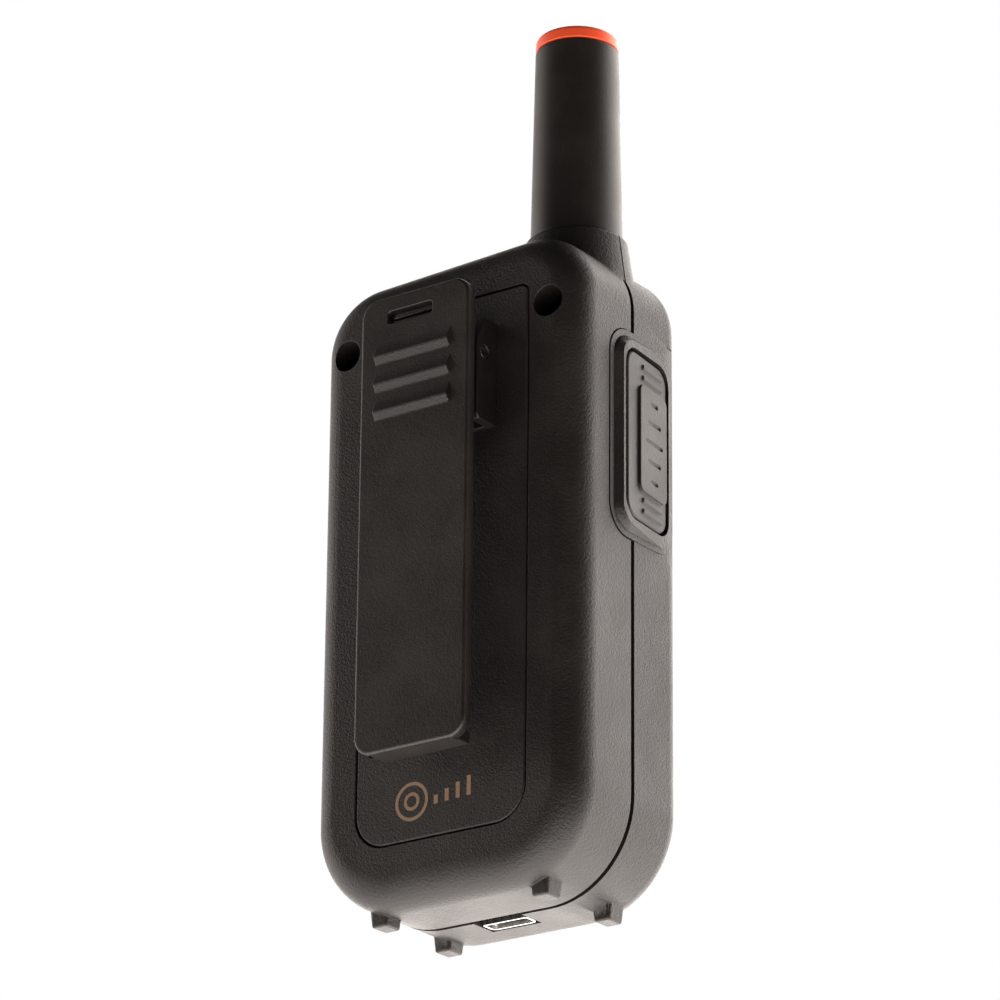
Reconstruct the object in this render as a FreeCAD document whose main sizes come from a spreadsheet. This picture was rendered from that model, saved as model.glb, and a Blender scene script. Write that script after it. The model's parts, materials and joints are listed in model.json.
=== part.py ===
import FreeCAD, Part
import math
import os
import Sketcher

# Compact handheld radio: two-shell case, belt clip, stub antenna, keys and the pieces inside.
#
# Frame: +Z up along the case, +X to the side away from the antenna, the keypad faces -Y and the
# belt clip +Y. The origin is on the resting plane, midway between the four feet, in the plane
# where the two shells meet. Millimetres.

SIZES = {
    # case shells
    "case_width": 46.7,
    "case_bottom": 1.1,
    "case_top_far": 97.3,
    "case_top_near": 98.3,
    "rear_depth": 13.9,
    "front_depth": 12.1,
    "wall": 1.7,
    "top_corner": 10.0,
    "bottom_corner": 14.0,
    "rear_edge": 4.8,
    "front_edge": 3.2,
    "seam_gap": 0.2,
    "rebate": 0.55,
    # antenna
    "antenna_x": -13.3,
    "collar_top": 101.3,
    "collar_top_radius": 7.5,
    "collar_root_radius": 9.7,
    "collar_root": 86.0,
    "sleeve_root_radius": 6.78,
    "sleeve_top_radius": 6.15,
    "sleeve_top": 132.35,
    "cap_height": 2.0,
    "stem_radius": 5.0,
    # back panel and screws
    "panel_width": 29.2,
    "panel_bottom": 10.0,
    "panel_top": 90.0,
    "panel_corner": 5.0,
    "panel_thick": 1.2,
    "panel_step": 0.0,
    "panel_gap": 0.25,
    "screw_spread": 36.0,
    "screw_height": 86.5,
    "screw_well_radius": 2.35,
    # belt clip
    "clip_width": 19.2,
    "clip_bottom": 20.9,
    "clip_top": 90.0,
    "clip_outer": "=rear_depth+7.5",
    "clip_thick": 1.7,
    "clip_corner": 2.8,
    "clip_lip": 4.7,
    "pivot_height": 79.6,
    "pivot_depth": "=clip_outer-4.6",
    "pin_radius": 1.0,
    "pin_running_gap": 0.05,
    "spring_wire": 0.3,
    "ear_bottom": 69.0,
    "ear_top": 84.9,
    "ear_thick": 1.5,
    "ear_spread": 18.4,
    "lug_spread": 14.6,
    "slot_width": 7.9,
    "slot_height": 1.9,
    "ridge_top": 80.2,
    "ridge_width": 13.2,
    "ridge_pitch": 4.3,
    "ridge_rise": 0.7,
    # talk button
    "bezel_bottom": 53.0,
    "bezel_top": 84.8,
    "bezel_rear": 5.9,
    "bezel_front": 10.5,
    "bezel_rise": 1.15,
    "bezel_ledge": 0.9,
    "bezel_base": 0.1,
    "bezel_corner": 4.4,
    "talk_bottom": 56.1,
    "talk_top": 81.7,
    "talk_rear": 3.1,
    "talk_front": 8.9,
    "talk_out": "=case_width/2+1.15",
    "talk_tilt": 1.5,
    # charging socket
    "socket_half": 3.86,
    "socket_rear": 1.75,
    "socket_depth": 2.9,
    "socket_length": 5.2,
    # feet
    "foot_x": 13.86,
    "foot_y": 7.48,
    "foot_wide": 2.7,
    "foot_deep": 3.4,
    # front fittings
    "window_width": 29.0,
    "window_bottom": 62.0,
    "window_top": 82.0,
    "window_thick": 1.2,
    "key_travel": 0.5,
    "key_proud": 0.9,
    "key_row": 50.5,
    "key_size": 8.4,
    "key_spread": 12.2,
    "speaker_height": 27.0,
    "speaker_radius": 13.0,
    # electronics
    "board_rear": 0.5,
    "board_thick": 1.2,
    "board_half": 19.0,
    "board_bottom": 3.6,
    "board_top": 92.0,
    "cell_width": 34.0,
    "cell_height": 50.0,
    "cell_thick": 5.6,
}

doc = FreeCAD.newDocument("PortableRadio")
sheet = doc.addObject("Spreadsheet::Sheet", "Sizes")
for row, alias in enumerate(SIZES, start=1):
    sheet.set(f"A{row}", alias)
    sheet.setAlias(f"B{row}", alias)
for row, size in enumerate(SIZES.values(), start=1):
    sheet.set(f"B{row}", str(size))
doc.recompute()


def expression(text):
    """Spell a formula over the sheet's names the way the document wants it."""
    words = []
    word = ""
    for letter in text + " ":
        if letter.isalnum() or letter == "_":
            word += letter
            continue
        words.append(f"Sizes.{word}" if word in SIZES else word)
        words.append(letter)
        word = ""
    return "".join(words).strip()


def value(text):
    """The number a formula over the sheet's names gives."""
    result = sheet.evalExpression(expression(str(text)))
    return float(getattr(result, "Value", result))


def bind(item, **properties):
    """Tie an object's properties to formulas over the sheet; a double underscore is a dot."""
    for name, text in properties.items():
        item.setExpression(name.replace("__", "."), expression(str(text)))


# ---------------------------------------------------------------- sketches and features

def body(label):
    item = doc.addObject("PartDesign::Body", label)
    item.Label = label
    return item


def sketch(owner, role, offset="0", across="0", along="0"):
    """A sketch on one of its body's own origin planes, moved along the plane's normal."""
    plane = [f for f in owner.Origin.OriginFeatures if f.Role == role][0]
    item = owner.newObject("Sketcher::SketchObject", owner.Label + "_sketch")
    item.AttachmentSupport = [(plane, "")]
    item.MapMode = "FlatFace"
    bind(item, AttachmentOffset__Base__x=across, AttachmentOffset__Base__y=along,
         AttachmentOffset__Base__z=offset)
    return item


def vector(x, y):
    return FreeCAD.Vector(x, y, 0)


def pin_point(item, line, end, x, y):
    """Hold one end of a line at formulas for its two sketch coordinates."""
    for kind, text in (("DistanceX", x), ("DistanceY", y)):
        if text is None:
            continue
        index = item.addConstraint(Sketcher.Constraint(kind, -1, 1, line, end, value(text)))
        name = f"size_{index}"
        item.renameConstraint(index, name)
        item.setExpression(f"Constraints.{name}", expression(str(text)))


def polygon(item, points):
    """A closed outline of straight sides through points given as pairs of formulas."""
    numbers = [(value(x), value(y)) for x, y in points]
    first = item.GeometryCount
    for index, start in enumerate(numbers):
        end = numbers[(index + 1) % len(numbers)]
        item.addGeometry(Part.LineSegment(vector(*start), vector(*end)), False)
    for index in range(len(numbers)):
        following = first + (index + 1) % len(numbers)
        item.addConstraint(Sketcher.Constraint("Coincident", first + index, 2, following, 1))
    for index, (x, y) in enumerate(points):
        pin_point(item, first + index, 1, x, y)


def rectangle(item, left, right, low, high):
    polygon(item, [(left, low), (right, low), (right, high), (left, high)])


def circle(item, x, y, radius):
    index = item.addGeometry(
        Part.Circle(vector(value(x), value(y)), FreeCAD.Vector(0, 0, 1), value(radius)), False)
    pin_point(item, index, 3, x, y)
    constraint = item.addConstraint(Sketcher.Constraint("Radius", index, value(radius)))
    item.renameConstraint(constraint, f"size_{constraint}")
    item.setExpression(f"Constraints.size_{constraint}", expression(str(radius)))


def rounded(item, left, right, low, high, low_radius, high_radius=None, right_high=None):
    """A rectangle with rounded corners; the top side may slope from high down to right_high."""
    high_radius = high_radius or low_radius
    x0, x1, y0, y1 = value(left), value(right), value(low), value(high)
    y2 = value(right_high) if right_high else y1
    a, b = value(low_radius), value(high_radius)
    tilt = math.atan2(y2 - y1, x1 - x0 - 2 * b)
    lean = b * (1 - math.cos(tilt))
    half = math.pi / 2
    sides = [
        ((x0 + a, y0), (x1 - a, y0)),
        ((x1, y0 + a), (x1, y2 - b + lean)),
        ((x1 - b + b * math.sin(-tilt), y2), (x0 + b + b * math.sin(-tilt), y1)),
        ((x0, y1 - b + lean), (x0, y0 + a)),
    ]
    centres = [
        ((x1 - a, y0 + a), a, -half, 0),
        ((x1 - b, y2 - b), b, 0, half + tilt),
        ((x0 + b, y1 - b), b, half + tilt, math.pi),
        ((x0 + a, y0 + a), a, math.pi, 3 * half),
    ]
    first = item.GeometryCount
    for start, end in sides:
        item.addGeometry(Part.LineSegment(vector(*start), vector(*end)), False)
    for centre, radius, begin, finish in centres:
        ring = Part.Circle(vector(*centre), FreeCAD.Vector(0, 0, 1), radius)
        item.addGeometry(Part.ArcOfCircle(ring, begin, finish), False)
    for index in range(4):
        arc = first + 4 + index
        following = first + (index + 1) % 4
        item.addConstraint(Sketcher.Constraint("Tangent", first + index, 2, arc, 1))
        item.addConstraint(Sketcher.Constraint("Tangent", arc, 2, following, 1))
    item.addConstraint(Sketcher.Constraint("Horizontal", first))
    item.addConstraint(Sketcher.Constraint("Vertical", first + 1))
    item.addConstraint(Sketcher.Constraint("Vertical", first + 3))
    item.addConstraint(Sketcher.Constraint("Equal", first + 4, first + 7))
    item.addConstraint(Sketcher.Constraint("Equal", first + 5, first + 6))
    for arc, text in ((first + 4, low_radius), (first + 5, high_radius)):
        constraint = item.addConstraint(Sketcher.Constraint("Radius", arc, value(text)))
        item.renameConstraint(constraint, f"size_{constraint}")
        item.setExpression(f"Constraints.size_{constraint}", expression(str(text)))
    pin_point(item, first, 1, None, low)
    pin_point(item, first + 1, 1, right, None)
    pin_point(item, first + 3, 1, left, None)
    if right_high:
        pin_point(item, first + 2, 1, None, right_high)
        pin_point(item, first + 2, 2, None, high)
    else:
        item.addConstraint(Sketcher.Constraint("Horizontal", first + 2))
        pin_point(item, first + 2, 1, None, high)


def grow(owner, profile, length, reverse=False, taper=None):
    item = owner.newObject("PartDesign::Pad", owner.Label + "_pad")
    item.Profile = profile
    item.Reversed = reverse
    bind(item, Length=length)
    if taper:
        bind(item, TaperAngle=taper)
    profile.Visibility = False
    return item


def sink(owner, profile, length, reverse=False):
    """Cut the profile into the body, and make sure that it really takes material away."""
    doc.recompute()
    before = owner.Shape.Volume
    item = owner.newObject("PartDesign::Pocket", owner.Label + "_pocket")
    item.Profile = profile
    item.Reversed = reverse
    bind(item, Length=length)
    doc.recompute()
    if not owner.Shape.Volume < before - 1e-3:
        raise RuntimeError(f"a pocket of {owner.Label} cuts nothing")
    return item


def turn(owner, profile, kind="Revolution", angle="360", reverse=False):
    """Turn the profile about its sketch's own vertical axis."""
    item = owner.newObject(f"PartDesign::{kind}", owner.Label + "_turned")
    item.Profile = profile
    item.ReferenceAxis = (profile, ["V_Axis"])
    item.Reversed = reverse
    bind(item, Angle=angle)
    return item


def dress(owner, kind, wanted, size):
    """Round or chamfer the edges of the body's tip that the test picks out."""
    doc.recompute()
    base = owner.Tip
    edges = [f"Edge{n}" for n, edge in enumerate(base.Shape.Edges, start=1) if wanted(edge)]
    if not edges:
        raise RuntimeError(f"no edge of {owner.Label} to dress")
    item = owner.newObject(f"PartDesign::{kind}", owner.Label + "_" + kind.lower())
    item.Base = (base, edges)
    bind(item, **{"Radius" if kind == "Fillet" else "Size": size})
    doc.recompute()
    if "Invalid" in item.State or item.Shape.isNull():
        raise RuntimeError(f"{kind} failed on {owner.Label}")
    return item


def lies_at(axis, text, slack=0.01):
    """A test for edges that lie wholly at one value of x, y or z."""
    def test(edge):
        box = edge.BoundBox
        low = getattr(box, axis.upper() + "Min")
        high = getattr(box, axis.upper() + "Max")
        return abs(low - value(text)) < slack and abs(high - value(text)) < slack
    return test


# ---------------------------------------------------------------- plain pieces

def place(item, x="0", y="0", z="0"):
    bind(item, Placement__Base__x=x, Placement__Base__y=y, Placement__Base__z=z)
    return item


def block(label, x0, x1, y0, y1, z0, z1):
    item = doc.addObject("Part::Box", label)
    item.Label = label
    bind(item, Length=f"({x1})-({x0})", Width=f"({y1})-({y0})", Height=f"({z1})-({z0})")
    return place(item, x0, y0, z0)


def rod(label, radius, length, x, y, z, axis="z"):
    """A cylinder that starts at a point and runs along +x, +y or +z."""
    item = doc.addObject("Part::Cylinder", label)
    item.Label = label
    bind(item, Radius=radius, Height=length)
    turns = {
        "x": FreeCAD.Rotation(FreeCAD.Vector(0, 1, 0), 90),
        "y": FreeCAD.Rotation(FreeCAD.Vector(1, 0, 0), -90),
        "z": FreeCAD.Rotation(),
    }
    item.Placement.Rotation = turns[axis]
    return place(item, x, y, z)


def join(label, *pieces):
    item = doc.addObject("Part::MultiFuse", label)
    item.Label = label
    item.Shapes = list(pieces)
    return item


def cut(label, base, tool):
    item = doc.addObject("Part::Cut", label)
    item.Label = label
    item.Base = base
    item.Tool = tool
    return item


def soften(label, base, radius, wanted=None):
    """Round a plain piece's edges, all of them or those the test picks out."""
    doc.recompute()
    item = doc.addObject("Part::Fillet", label)
    item.Label = label
    item.Base = base
    size = value(radius)
    item.Edges = [(n, size, size) for n, edge in enumerate(base.Shape.Edges, start=1)
                  if wanted is None or wanted(edge)]
    return item


def runs_along(axis):
    """A test for straight edges along one direction."""
    def test(edge):
        if len(edge.Vertexes) < 2:
            return False
        start, end = edge.Vertexes[0].Point, edge.Vertexes[-1].Point
        step = end - start
        return step.Length > 1e-6 and abs(getattr(step, axis)) > 0.999 * step.Length
    return test


# ---------------------------------------------------------------- case shells

def add_outline(item, inset):
    """The case's outline seen from the front, drawn in by an inset."""
    rounded(item, f"-case_width/2+{inset}", f"case_width/2-{inset}", f"case_bottom+{inset}",
            f"case_top_near-{inset}", f"bottom_corner-{inset}", f"top_corner-{inset}",
            f"case_top_far-{inset}")


def shell_outline(owner, offset="0", inset="0"):
    item = sketch(owner, "XZ_Plane", offset)
    add_outline(item, inset)
    return item


def collar(owner, reverse):
    """Half of the tapered boss that the antenna stands in."""
    profile = sketch(owner, "XZ_Plane", across="antenna_x")
    polygon(profile, [("0", "collar_root"), ("collar_root_radius", "collar_root"),
                      ("collar_top_radius", "collar_top"), ("0", "collar_top")])
    turn(owner, profile, "Revolution", "180", reverse=reverse)
    rim = value("collar_top_radius") - 0.2
    dress(owner, "Fillet", lambda edge: lies_at("z", "collar_top")(edge)
          and edge.BoundBox.XLength > rim and edge.BoundBox.YLength > rim, "0.7")


def antenna_bore(owner):
    profile = sketch(owner, "XZ_Plane", across="antenna_x")
    rectangle(profile, "0", "stem_radius+0.1", "collar_root-6", "collar_top+5")
    before = owner.Shape.Volume
    turn(owner, profile, "Groove")
    doc.recompute()
    if not owner.Shape.Volume < before:
        raise RuntimeError("the antenna bore cuts nothing")


def feet(owner, side):
    """Two short tapered blocks under the shell, one at each end."""
    profile = sketch(owner, "XY_Plane", "case_bottom+1.7")
    for end in ("-", ""):
        middle = f"{end}foot_x"
        rounded(profile, f"{middle}-foot_wide/2-0.3", f"{middle}+foot_wide/2+0.3",
                f"{side}foot_y-foot_deep/2-0.3", f"{side}foot_y+foot_deep/2+0.3", "0.75")
    grow(owner, profile, "case_bottom+1.7", reverse=True, taper="-6.6")
    dress(owner, "Fillet", lies_at("z", "0"), "0.4")


def build_rear_case():
    owner = body("rear_case")
    grow(owner, shell_outline(owner), "rear_depth", reverse=True)
    dress(owner, "Fillet", lies_at("y", "rear_depth", 0.05), "rear_edge")
    collar(owner, reverse=False)
    feet(owner, "")
    sink(owner, shell_outline(owner, inset="wall"), "rear_depth-wall-panel_thick+0.2")
    antenna_bore(owner)
    rebate = shell_outline(owner)
    add_outline(rebate, "rebate*1.5")
    sink(owner, rebate, "rebate")
    recess = sketch(owner, "XZ_Plane", "-rear_depth")
    rounded(recess, "-panel_width/2-panel_gap", "panel_width/2+panel_gap",
            "panel_bottom-panel_gap", "panel_top+panel_gap", "panel_corner+panel_gap", "1.6")
    sink(owner, recess, "panel_thick+panel_step", reverse=True)
    posts = sketch(owner, "XZ_Plane", "0")
    for side in ("-", ""):
        circle(posts, f"{side}screw_spread/2", "screw_height", "screw_well_radius+1.2")
    grow(owner, posts, "rear_depth-wall-1", reverse=True)
    wells = sketch(owner, "XZ_Plane", "-rear_depth")
    for side in ("-", ""):
        circle(wells, f"{side}screw_spread/2", "screw_height", "screw_well_radius")
    sink(owner, wells, "rear_depth-2.5", reverse=True)
    shanks = sketch(owner, "XZ_Plane", "0")
    for side in ("-", ""):
        circle(shanks, f"{side}screw_spread/2", "screw_height", "1.3")
    sink(owner, shanks, "rear_depth")
    bezel_notch = sketch(owner, "YZ_Plane", "-case_width/2-2")
    rounded(bezel_notch, "-8", "bezel_rear+0.12", "bezel_bottom-0.12", "bezel_top+0.12",
            "bezel_corner")
    sink(owner, bezel_notch, "5", reverse=True)
    socket = sketch(owner, "XY_Plane", "0")
    rectangle(socket, "-socket_half-0.7", "socket_half+0.7", "-1", "0.45")
    sink(owner, socket, "6", reverse=True)
    return owner


def build_front_case():
    owner = body("front_case")
    grow(owner, shell_outline(owner, "seam_gap"), "front_depth-seam_gap")
    dress(owner, "Fillet", lies_at("y", "-front_depth", 0.05), "front_edge")
    collar(owner, reverse=True)
    seam = sketch(owner, "XZ_Plane", "seam_gap")
    rectangle(seam, "antenna_x-12", "antenna_x+12", "collar_root-1", "collar_top+1")
    sink(owner, seam, "seam_gap+1")
    feet(owner, "-")
    sink(owner, shell_outline(owner, inset="wall"), "front_depth-wall", reverse=True)
    antenna_bore(owner)
    bezel = sketch(owner, "YZ_Plane", "-case_width/2+wall")
    rounded(bezel, "-bezel_front", "bezel_rear", "bezel_bottom", "bezel_top", "bezel_corner")
    grow(owner, bezel, "wall+bezel_base", reverse=True)
    crest = sketch(owner, "YZ_Plane", "-case_width/2+wall")
    rounded(crest, "-bezel_front", "bezel_rear-bezel_ledge", "bezel_bottom+bezel_ledge",
            "bezel_top-bezel_ledge", "bezel_corner-bezel_ledge+0.1")
    grow(owner, crest, "wall+bezel_rise", reverse=True)
    dress(owner, "Chamfer", lies_at("x", "-case_width/2-bezel_rise", 0.02), "1.0")
    lean = sketch(owner, "XY_Plane", "bezel_bottom-1")
    side = "-case_width/2"
    polygon(lean, [(f"{side}-3", "3"), (f"{side}-bezel_rise", "3"),
                   (side, "-front_depth+front_edge+0.5"), (f"{side}+0.5", "-bezel_front-0.5"),
                   (f"{side}-3", "-bezel_front-0.5")])
    sink(owner, lean, "bezel_top-bezel_bottom+2", reverse=True)
    mouth = sketch(owner, "YZ_Plane", "-case_width/2-3")
    rounded(mouth, "-talk_front-0.35", "talk_rear+0.45", "talk_bottom-0.4", "talk_top+0.4", "3")
    sink(owner, mouth, "7", reverse=True)
    window = sketch(owner, "XZ_Plane", "front_depth")
    rounded(window, "-window_width/2-0.1", "window_width/2+0.1", "window_bottom-0.1",
            "window_top+0.1", "2")
    sink(owner, window, "window_thick+0.1")
    view = sketch(owner, "XZ_Plane", "front_depth")
    rounded(view, "-window_width/2+2.2", "window_width/2-2.2", "window_bottom+2.2",
            "window_top-2.2", "1")
    sink(owner, view, "4")
    holes = sketch(owner, "XZ_Plane", "front_depth")
    for x, z in KEY_PLACES.values():
        circle(holes, x, z, "key_size/2+0.15")
    sink(owner, holes, "4")
    for index in range(-3, 4):
        slot = sketch(owner, "XZ_Plane", "front_depth")
        reach = f"sqrt(speaker_radius^2-{(index * 3.0) ** 2})-0.8"
        rounded(slot, f"-({reach})", reach, f"speaker_height+{index * 3.0}-0.6",
                f"speaker_height+{index * 3.0}+0.6", "0.55")
        sink(owner, slot, "4")
    sound_hole = sketch(owner, "XZ_Plane", "front_depth")
    circle(sound_hole, "0", "8.2", "0.6")
    sink(owner, sound_hole, "4")
    socket = sketch(owner, "XY_Plane", "0")
    rectangle(socket, "-socket_half-0.35", "socket_half+0.35", "-socket_rear-socket_depth-0.35", "1")
    sink(owner, socket, "6", reverse=True)
    posts = sketch(owner, "XZ_Plane", "seam_gap")
    for side in ("-", ""):
        circle(posts, f"{side}screw_spread/2", "screw_height", "2.4")
    grow(owner, posts, "front_depth-wall")
    threads = sketch(owner, "XZ_Plane", "seam_gap")
    for side in ("-", ""):
        circle(threads, f"{side}screw_spread/2", "screw_height", "0.95")
    sink(owner, threads, "7", reverse=True)
    return owner


KEY_PLACES = {
    "power_key": ("-key_spread", "key_row"),
    "menu_key": ("key_spread", "key_row"),
    "up_key": ("0", "key_row+5.2"),
    "down_key": ("0", "key_row-5.2"),
}



# ---------------------------------------------------------------- back panel, screws, clip

def build_back_panel():
    owner = body("back_panel")
    outline = sketch(owner, "XZ_Plane", "-rear_depth+panel_step+panel_thick")
    rounded(outline, "-panel_width/2", "panel_width/2", "panel_bottom", "panel_top",
            "panel_corner", "1.2")
    grow(owner, outline, "panel_thick", reverse=True)
    dress(owner, "Fillet", lies_at("y", "rear_depth-panel_step"), "0.3")


def build_case_screws():
    pieces = []
    for side in ("-", ""):
        x = f"{side}screw_spread/2"
        head = rod(f"screw_head{side}", "1.95", "1.6", x, "2.55", "screw_height", "y")
        shank = rod(f"screw_shank{side}", "0.9", "8.4", x, "-5.8", "screw_height", "y")
        slot = block(f"screw_slot{side}", f"{x}-1.3", f"{x}+1.3", "3.5", "5", "screw_height-0.25",
                     "screw_height+0.25")
        cross = block(f"screw_cross{side}", f"{x}-0.25", f"{x}+0.25", "3.5", "5",
                      "screw_height-1.3", "screw_height+1.3")
        drive = join(f"screw_drive{side}", slot, cross)
        pieces.append(cut(f"screw{side}", join(f"screw_blank{side}", head, shank), drive))
    both = doc.addObject("Part::Compound", "case_screws")
    both.Label = "case_screws"
    both.Links = pieces


def ear_profile(owner, offset):
    """Side of a bracket ear: deep round the pivot and sloping away above it."""
    item = sketch(owner, "YZ_Plane", offset)
    inner = "rear_depth-panel_step"
    outer = "clip_outer-clip_thick-1.1"
    polygon(item, [(inner, "ear_bottom"), (f"{outer}-0.5", "ear_bottom"),
                   (outer, "ear_bottom+0.8"), (outer, "ear_top-3.6"), ("pivot_depth+0.2", "ear_top"),
                   (inner, "ear_top")])
    return item


def build_clip_bracket():
    """Base plate screwed to the back panel, with the two ears that hold the pin."""
    owner = body("clip_bracket")
    plate = sketch(owner, "XZ_Plane", "-rear_depth+panel_step")
    rounded(plate, "-ear_spread/2", "ear_spread/2", "ear_bottom", "ear_top", "0.8")
    grow(owner, plate, "1", reverse=True)
    for offset in ("ear_spread/2-ear_thick", "-ear_spread/2"):
        grow(owner, ear_profile(owner, offset), "ear_thick")
    hole = sketch(owner, "YZ_Plane", "-ear_spread/2-1")
    circle(hole, "pivot_depth", "pivot_height", "pin_radius")
    sink(owner, hole, "ear_spread+2", reverse=True)


def build_clip_pin():
    pin = rod("pin_shaft", "pin_radius", "ear_spread-0.2", "-ear_spread/2+0.1", "pivot_depth",
              "pivot_height", "x")
    soften("clip_pin", pin, "0.2")


def build_belt_clip():
    """Flat spring arm with grip ridges above the pivot and an inward lip at the bottom."""
    owner = body("belt_clip")
    outline = sketch(owner, "XZ_Plane", "-clip_outer+clip_thick")
    rounded(outline, "-clip_width/2", "clip_width/2", "clip_bottom", "clip_top", "clip_corner")
    grow(owner, outline, "clip_thick", reverse=True)
    dress(owner, "Fillet", lies_at("y", "clip_outer"), "0.45")
    lip = sketch(owner, "YZ_Plane", "-clip_width/2+clip_corner-0.6")
    polygon(lip, [("clip_outer-0.5", "clip_bottom"), ("clip_outer-0.5", "clip_bottom+3.2"),
                  ("clip_outer-clip_thick", "clip_bottom+3.2"),
                  ("clip_outer-clip_lip", "clip_bottom+1.5"),
                  ("clip_outer-clip_lip", "clip_bottom")])
    grow(owner, lip, "clip_width-2*clip_corner+1.2")
    dress(owner, "Fillet", lies_at("y", "clip_outer-clip_lip"), "0.5")
    for index in range(3):
        ridge = sketch(owner, "YZ_Plane", "-ridge_width/2+0.3")
        low = f"ridge_top-{index}*ridge_pitch"
        polygon(ridge, [("clip_outer-0.5", f"{low}-0.6"), ("clip_outer-0.02", f"{low}-0.6"),
                        ("clip_outer+ridge_rise", f"{low}+0.5"),
                        ("clip_outer+ridge_rise", f"{low}+0.7"), ("clip_outer-0.1", f"{low}+2.9"),
                        ("clip_outer-0.5", f"{low}+2.9")])
        grow(owner, ridge, "ridge_width")
    for offset in ("lug_spread/2-ear_thick", "-lug_spread/2"):
        lug = sketch(owner, "YZ_Plane", offset)
        inner = "clip_outer-clip_thick+0.2"
        polygon(lug, [(inner, "pivot_height-5"), (inner, "pivot_height+4"),
                      ("pivot_depth-0.2", "pivot_height+1.9"), ("pivot_depth-1.7", "pivot_height+0.9"),
                      ("pivot_depth-1.7", "pivot_height-0.9"),
                      ("pivot_depth-0.2", "pivot_height-1.9")])
        grow(owner, lug, "ear_thick")
    hole = sketch(owner, "YZ_Plane", "-lug_spread/2-0.5")
    circle(hole, "pivot_depth", "pivot_height", "pin_radius+pin_running_gap")
    sink(owner, hole, "lug_spread+1", reverse=True)
    slot = sketch(owner, "XZ_Plane", "-clip_outer-1")
    rounded(slot, "-slot_width/2+0.9", "slot_width/2+0.9", "86.65-slot_height/2",
            "86.65+slot_height/2", "0.5")
    sink(owner, slot, "clip_thick+2", reverse=True)


def build_clip_spring():
    """Torsion spring: a coil round the pin, one leg up the clip arm, one down the bracket."""
    wire = value("spring_wire")
    coil_radius = value("pin_radius") + 0.3 + wire
    pitch = 2.3 * wire
    height = 7 * pitch
    lean = FreeCAD.Vector(0, 1, pitch / (2 * math.pi * coil_radius))
    start = FreeCAD.Vector(coil_radius, 0, 0)
    end = FreeCAD.Vector(coil_radius, 0, height)
    section = Part.Wire(Part.makeCircle(wire, start, lean))
    coil = Part.Wire(Part.makeHelix(pitch, height, coil_radius)).makePipeShell([section], True, True)
    first_leg = Part.makeCylinder(wire, 5.5, start, -lean)
    last_leg = Part.makeCylinder(wire, 5.0, end, lean)
    item = doc.addObject("Part::Feature", "clip_spring")
    item.Label = "clip_spring"
    item.Shape = coil.fuse([first_leg, last_leg])
    upright = FreeCAD.Rotation(FreeCAD.Vector(0, 1, 0), 90)
    level = FreeCAD.Rotation(FreeCAD.Vector(1, 0, 0), 90)
    item.Placement = FreeCAD.Placement(
        FreeCAD.Vector(-height / 2, value("pivot_depth"), value("pivot_height")),
        level.multiply(upright))


# ---------------------------------------------------------------- antenna

def build_antenna():
    sleeve = doc.addObject("Part::Cone", "sleeve_solid")
    bind(sleeve, Radius1="sleeve_root_radius", Radius2="sleeve_top_radius",
         Height="sleeve_top-collar_top-0.1")
    place(sleeve, "antenna_x", "0", "collar_top+0.1")
    stem = rod("sleeve_stem", "stem_radius", "9", "antenna_x", "0", "collar_top-8.5")
    blank = join("sleeve_blank", sleeve, stem)
    hollow = rod("sleeve_hollow", "3.2", "sleeve_top-collar_top+7.5", "antenna_x", "0",
                 "collar_top-9")
    cut("antenna_sleeve", blank, hollow)
    disc = rod("cap_disc", "sleeve_top_radius+0.05", "cap_height", "antenna_x", "0",
               "sleeve_top+0.05")
    soften("antenna_cap", disc, "0.55",
           lambda edge: lies_at("z", "sleeve_top+0.05+cap_height")(edge))
    core = rod("core_rod", "1.6", "sleeve_top-board_top-8", "antenna_x", "0", "board_top+5")
    ferrule = rod("core_ferrule", "2.9", "6", "antenna_x", "0", "board_top+0.1")
    join("antenna_core", core, ferrule)
    coil = rod("winding_tube", "2.2", "22", "antenna_x", "0", "collar_top+3")
    inside = rod("winding_inside", "1.65", "23", "antenna_x", "0", "collar_top+2.5")
    cut("antenna_winding", coil, inside)


# ---------------------------------------------------------------- talk button

def talk_profile(owner, offset, rise, rear, front, inner="-case_width/2+2.6"):
    """Level section of the button: its outer face leans inward toward the front."""
    item = sketch(owner, "XY_Plane", offset)
    slope = "talk_tilt/(talk_rear+talk_front)"
    rear_face = f"-(talk_out+{rise})+(talk_rear-({rear}))*{slope}"
    front_face = f"-(talk_out+{rise})+(talk_rear+({front}))*{slope}"
    polygon(item, [(rear_face, rear), (front_face, f"-({front})"), (inner, f"-({front})"),
                   (inner, rear)])
    return item


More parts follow.
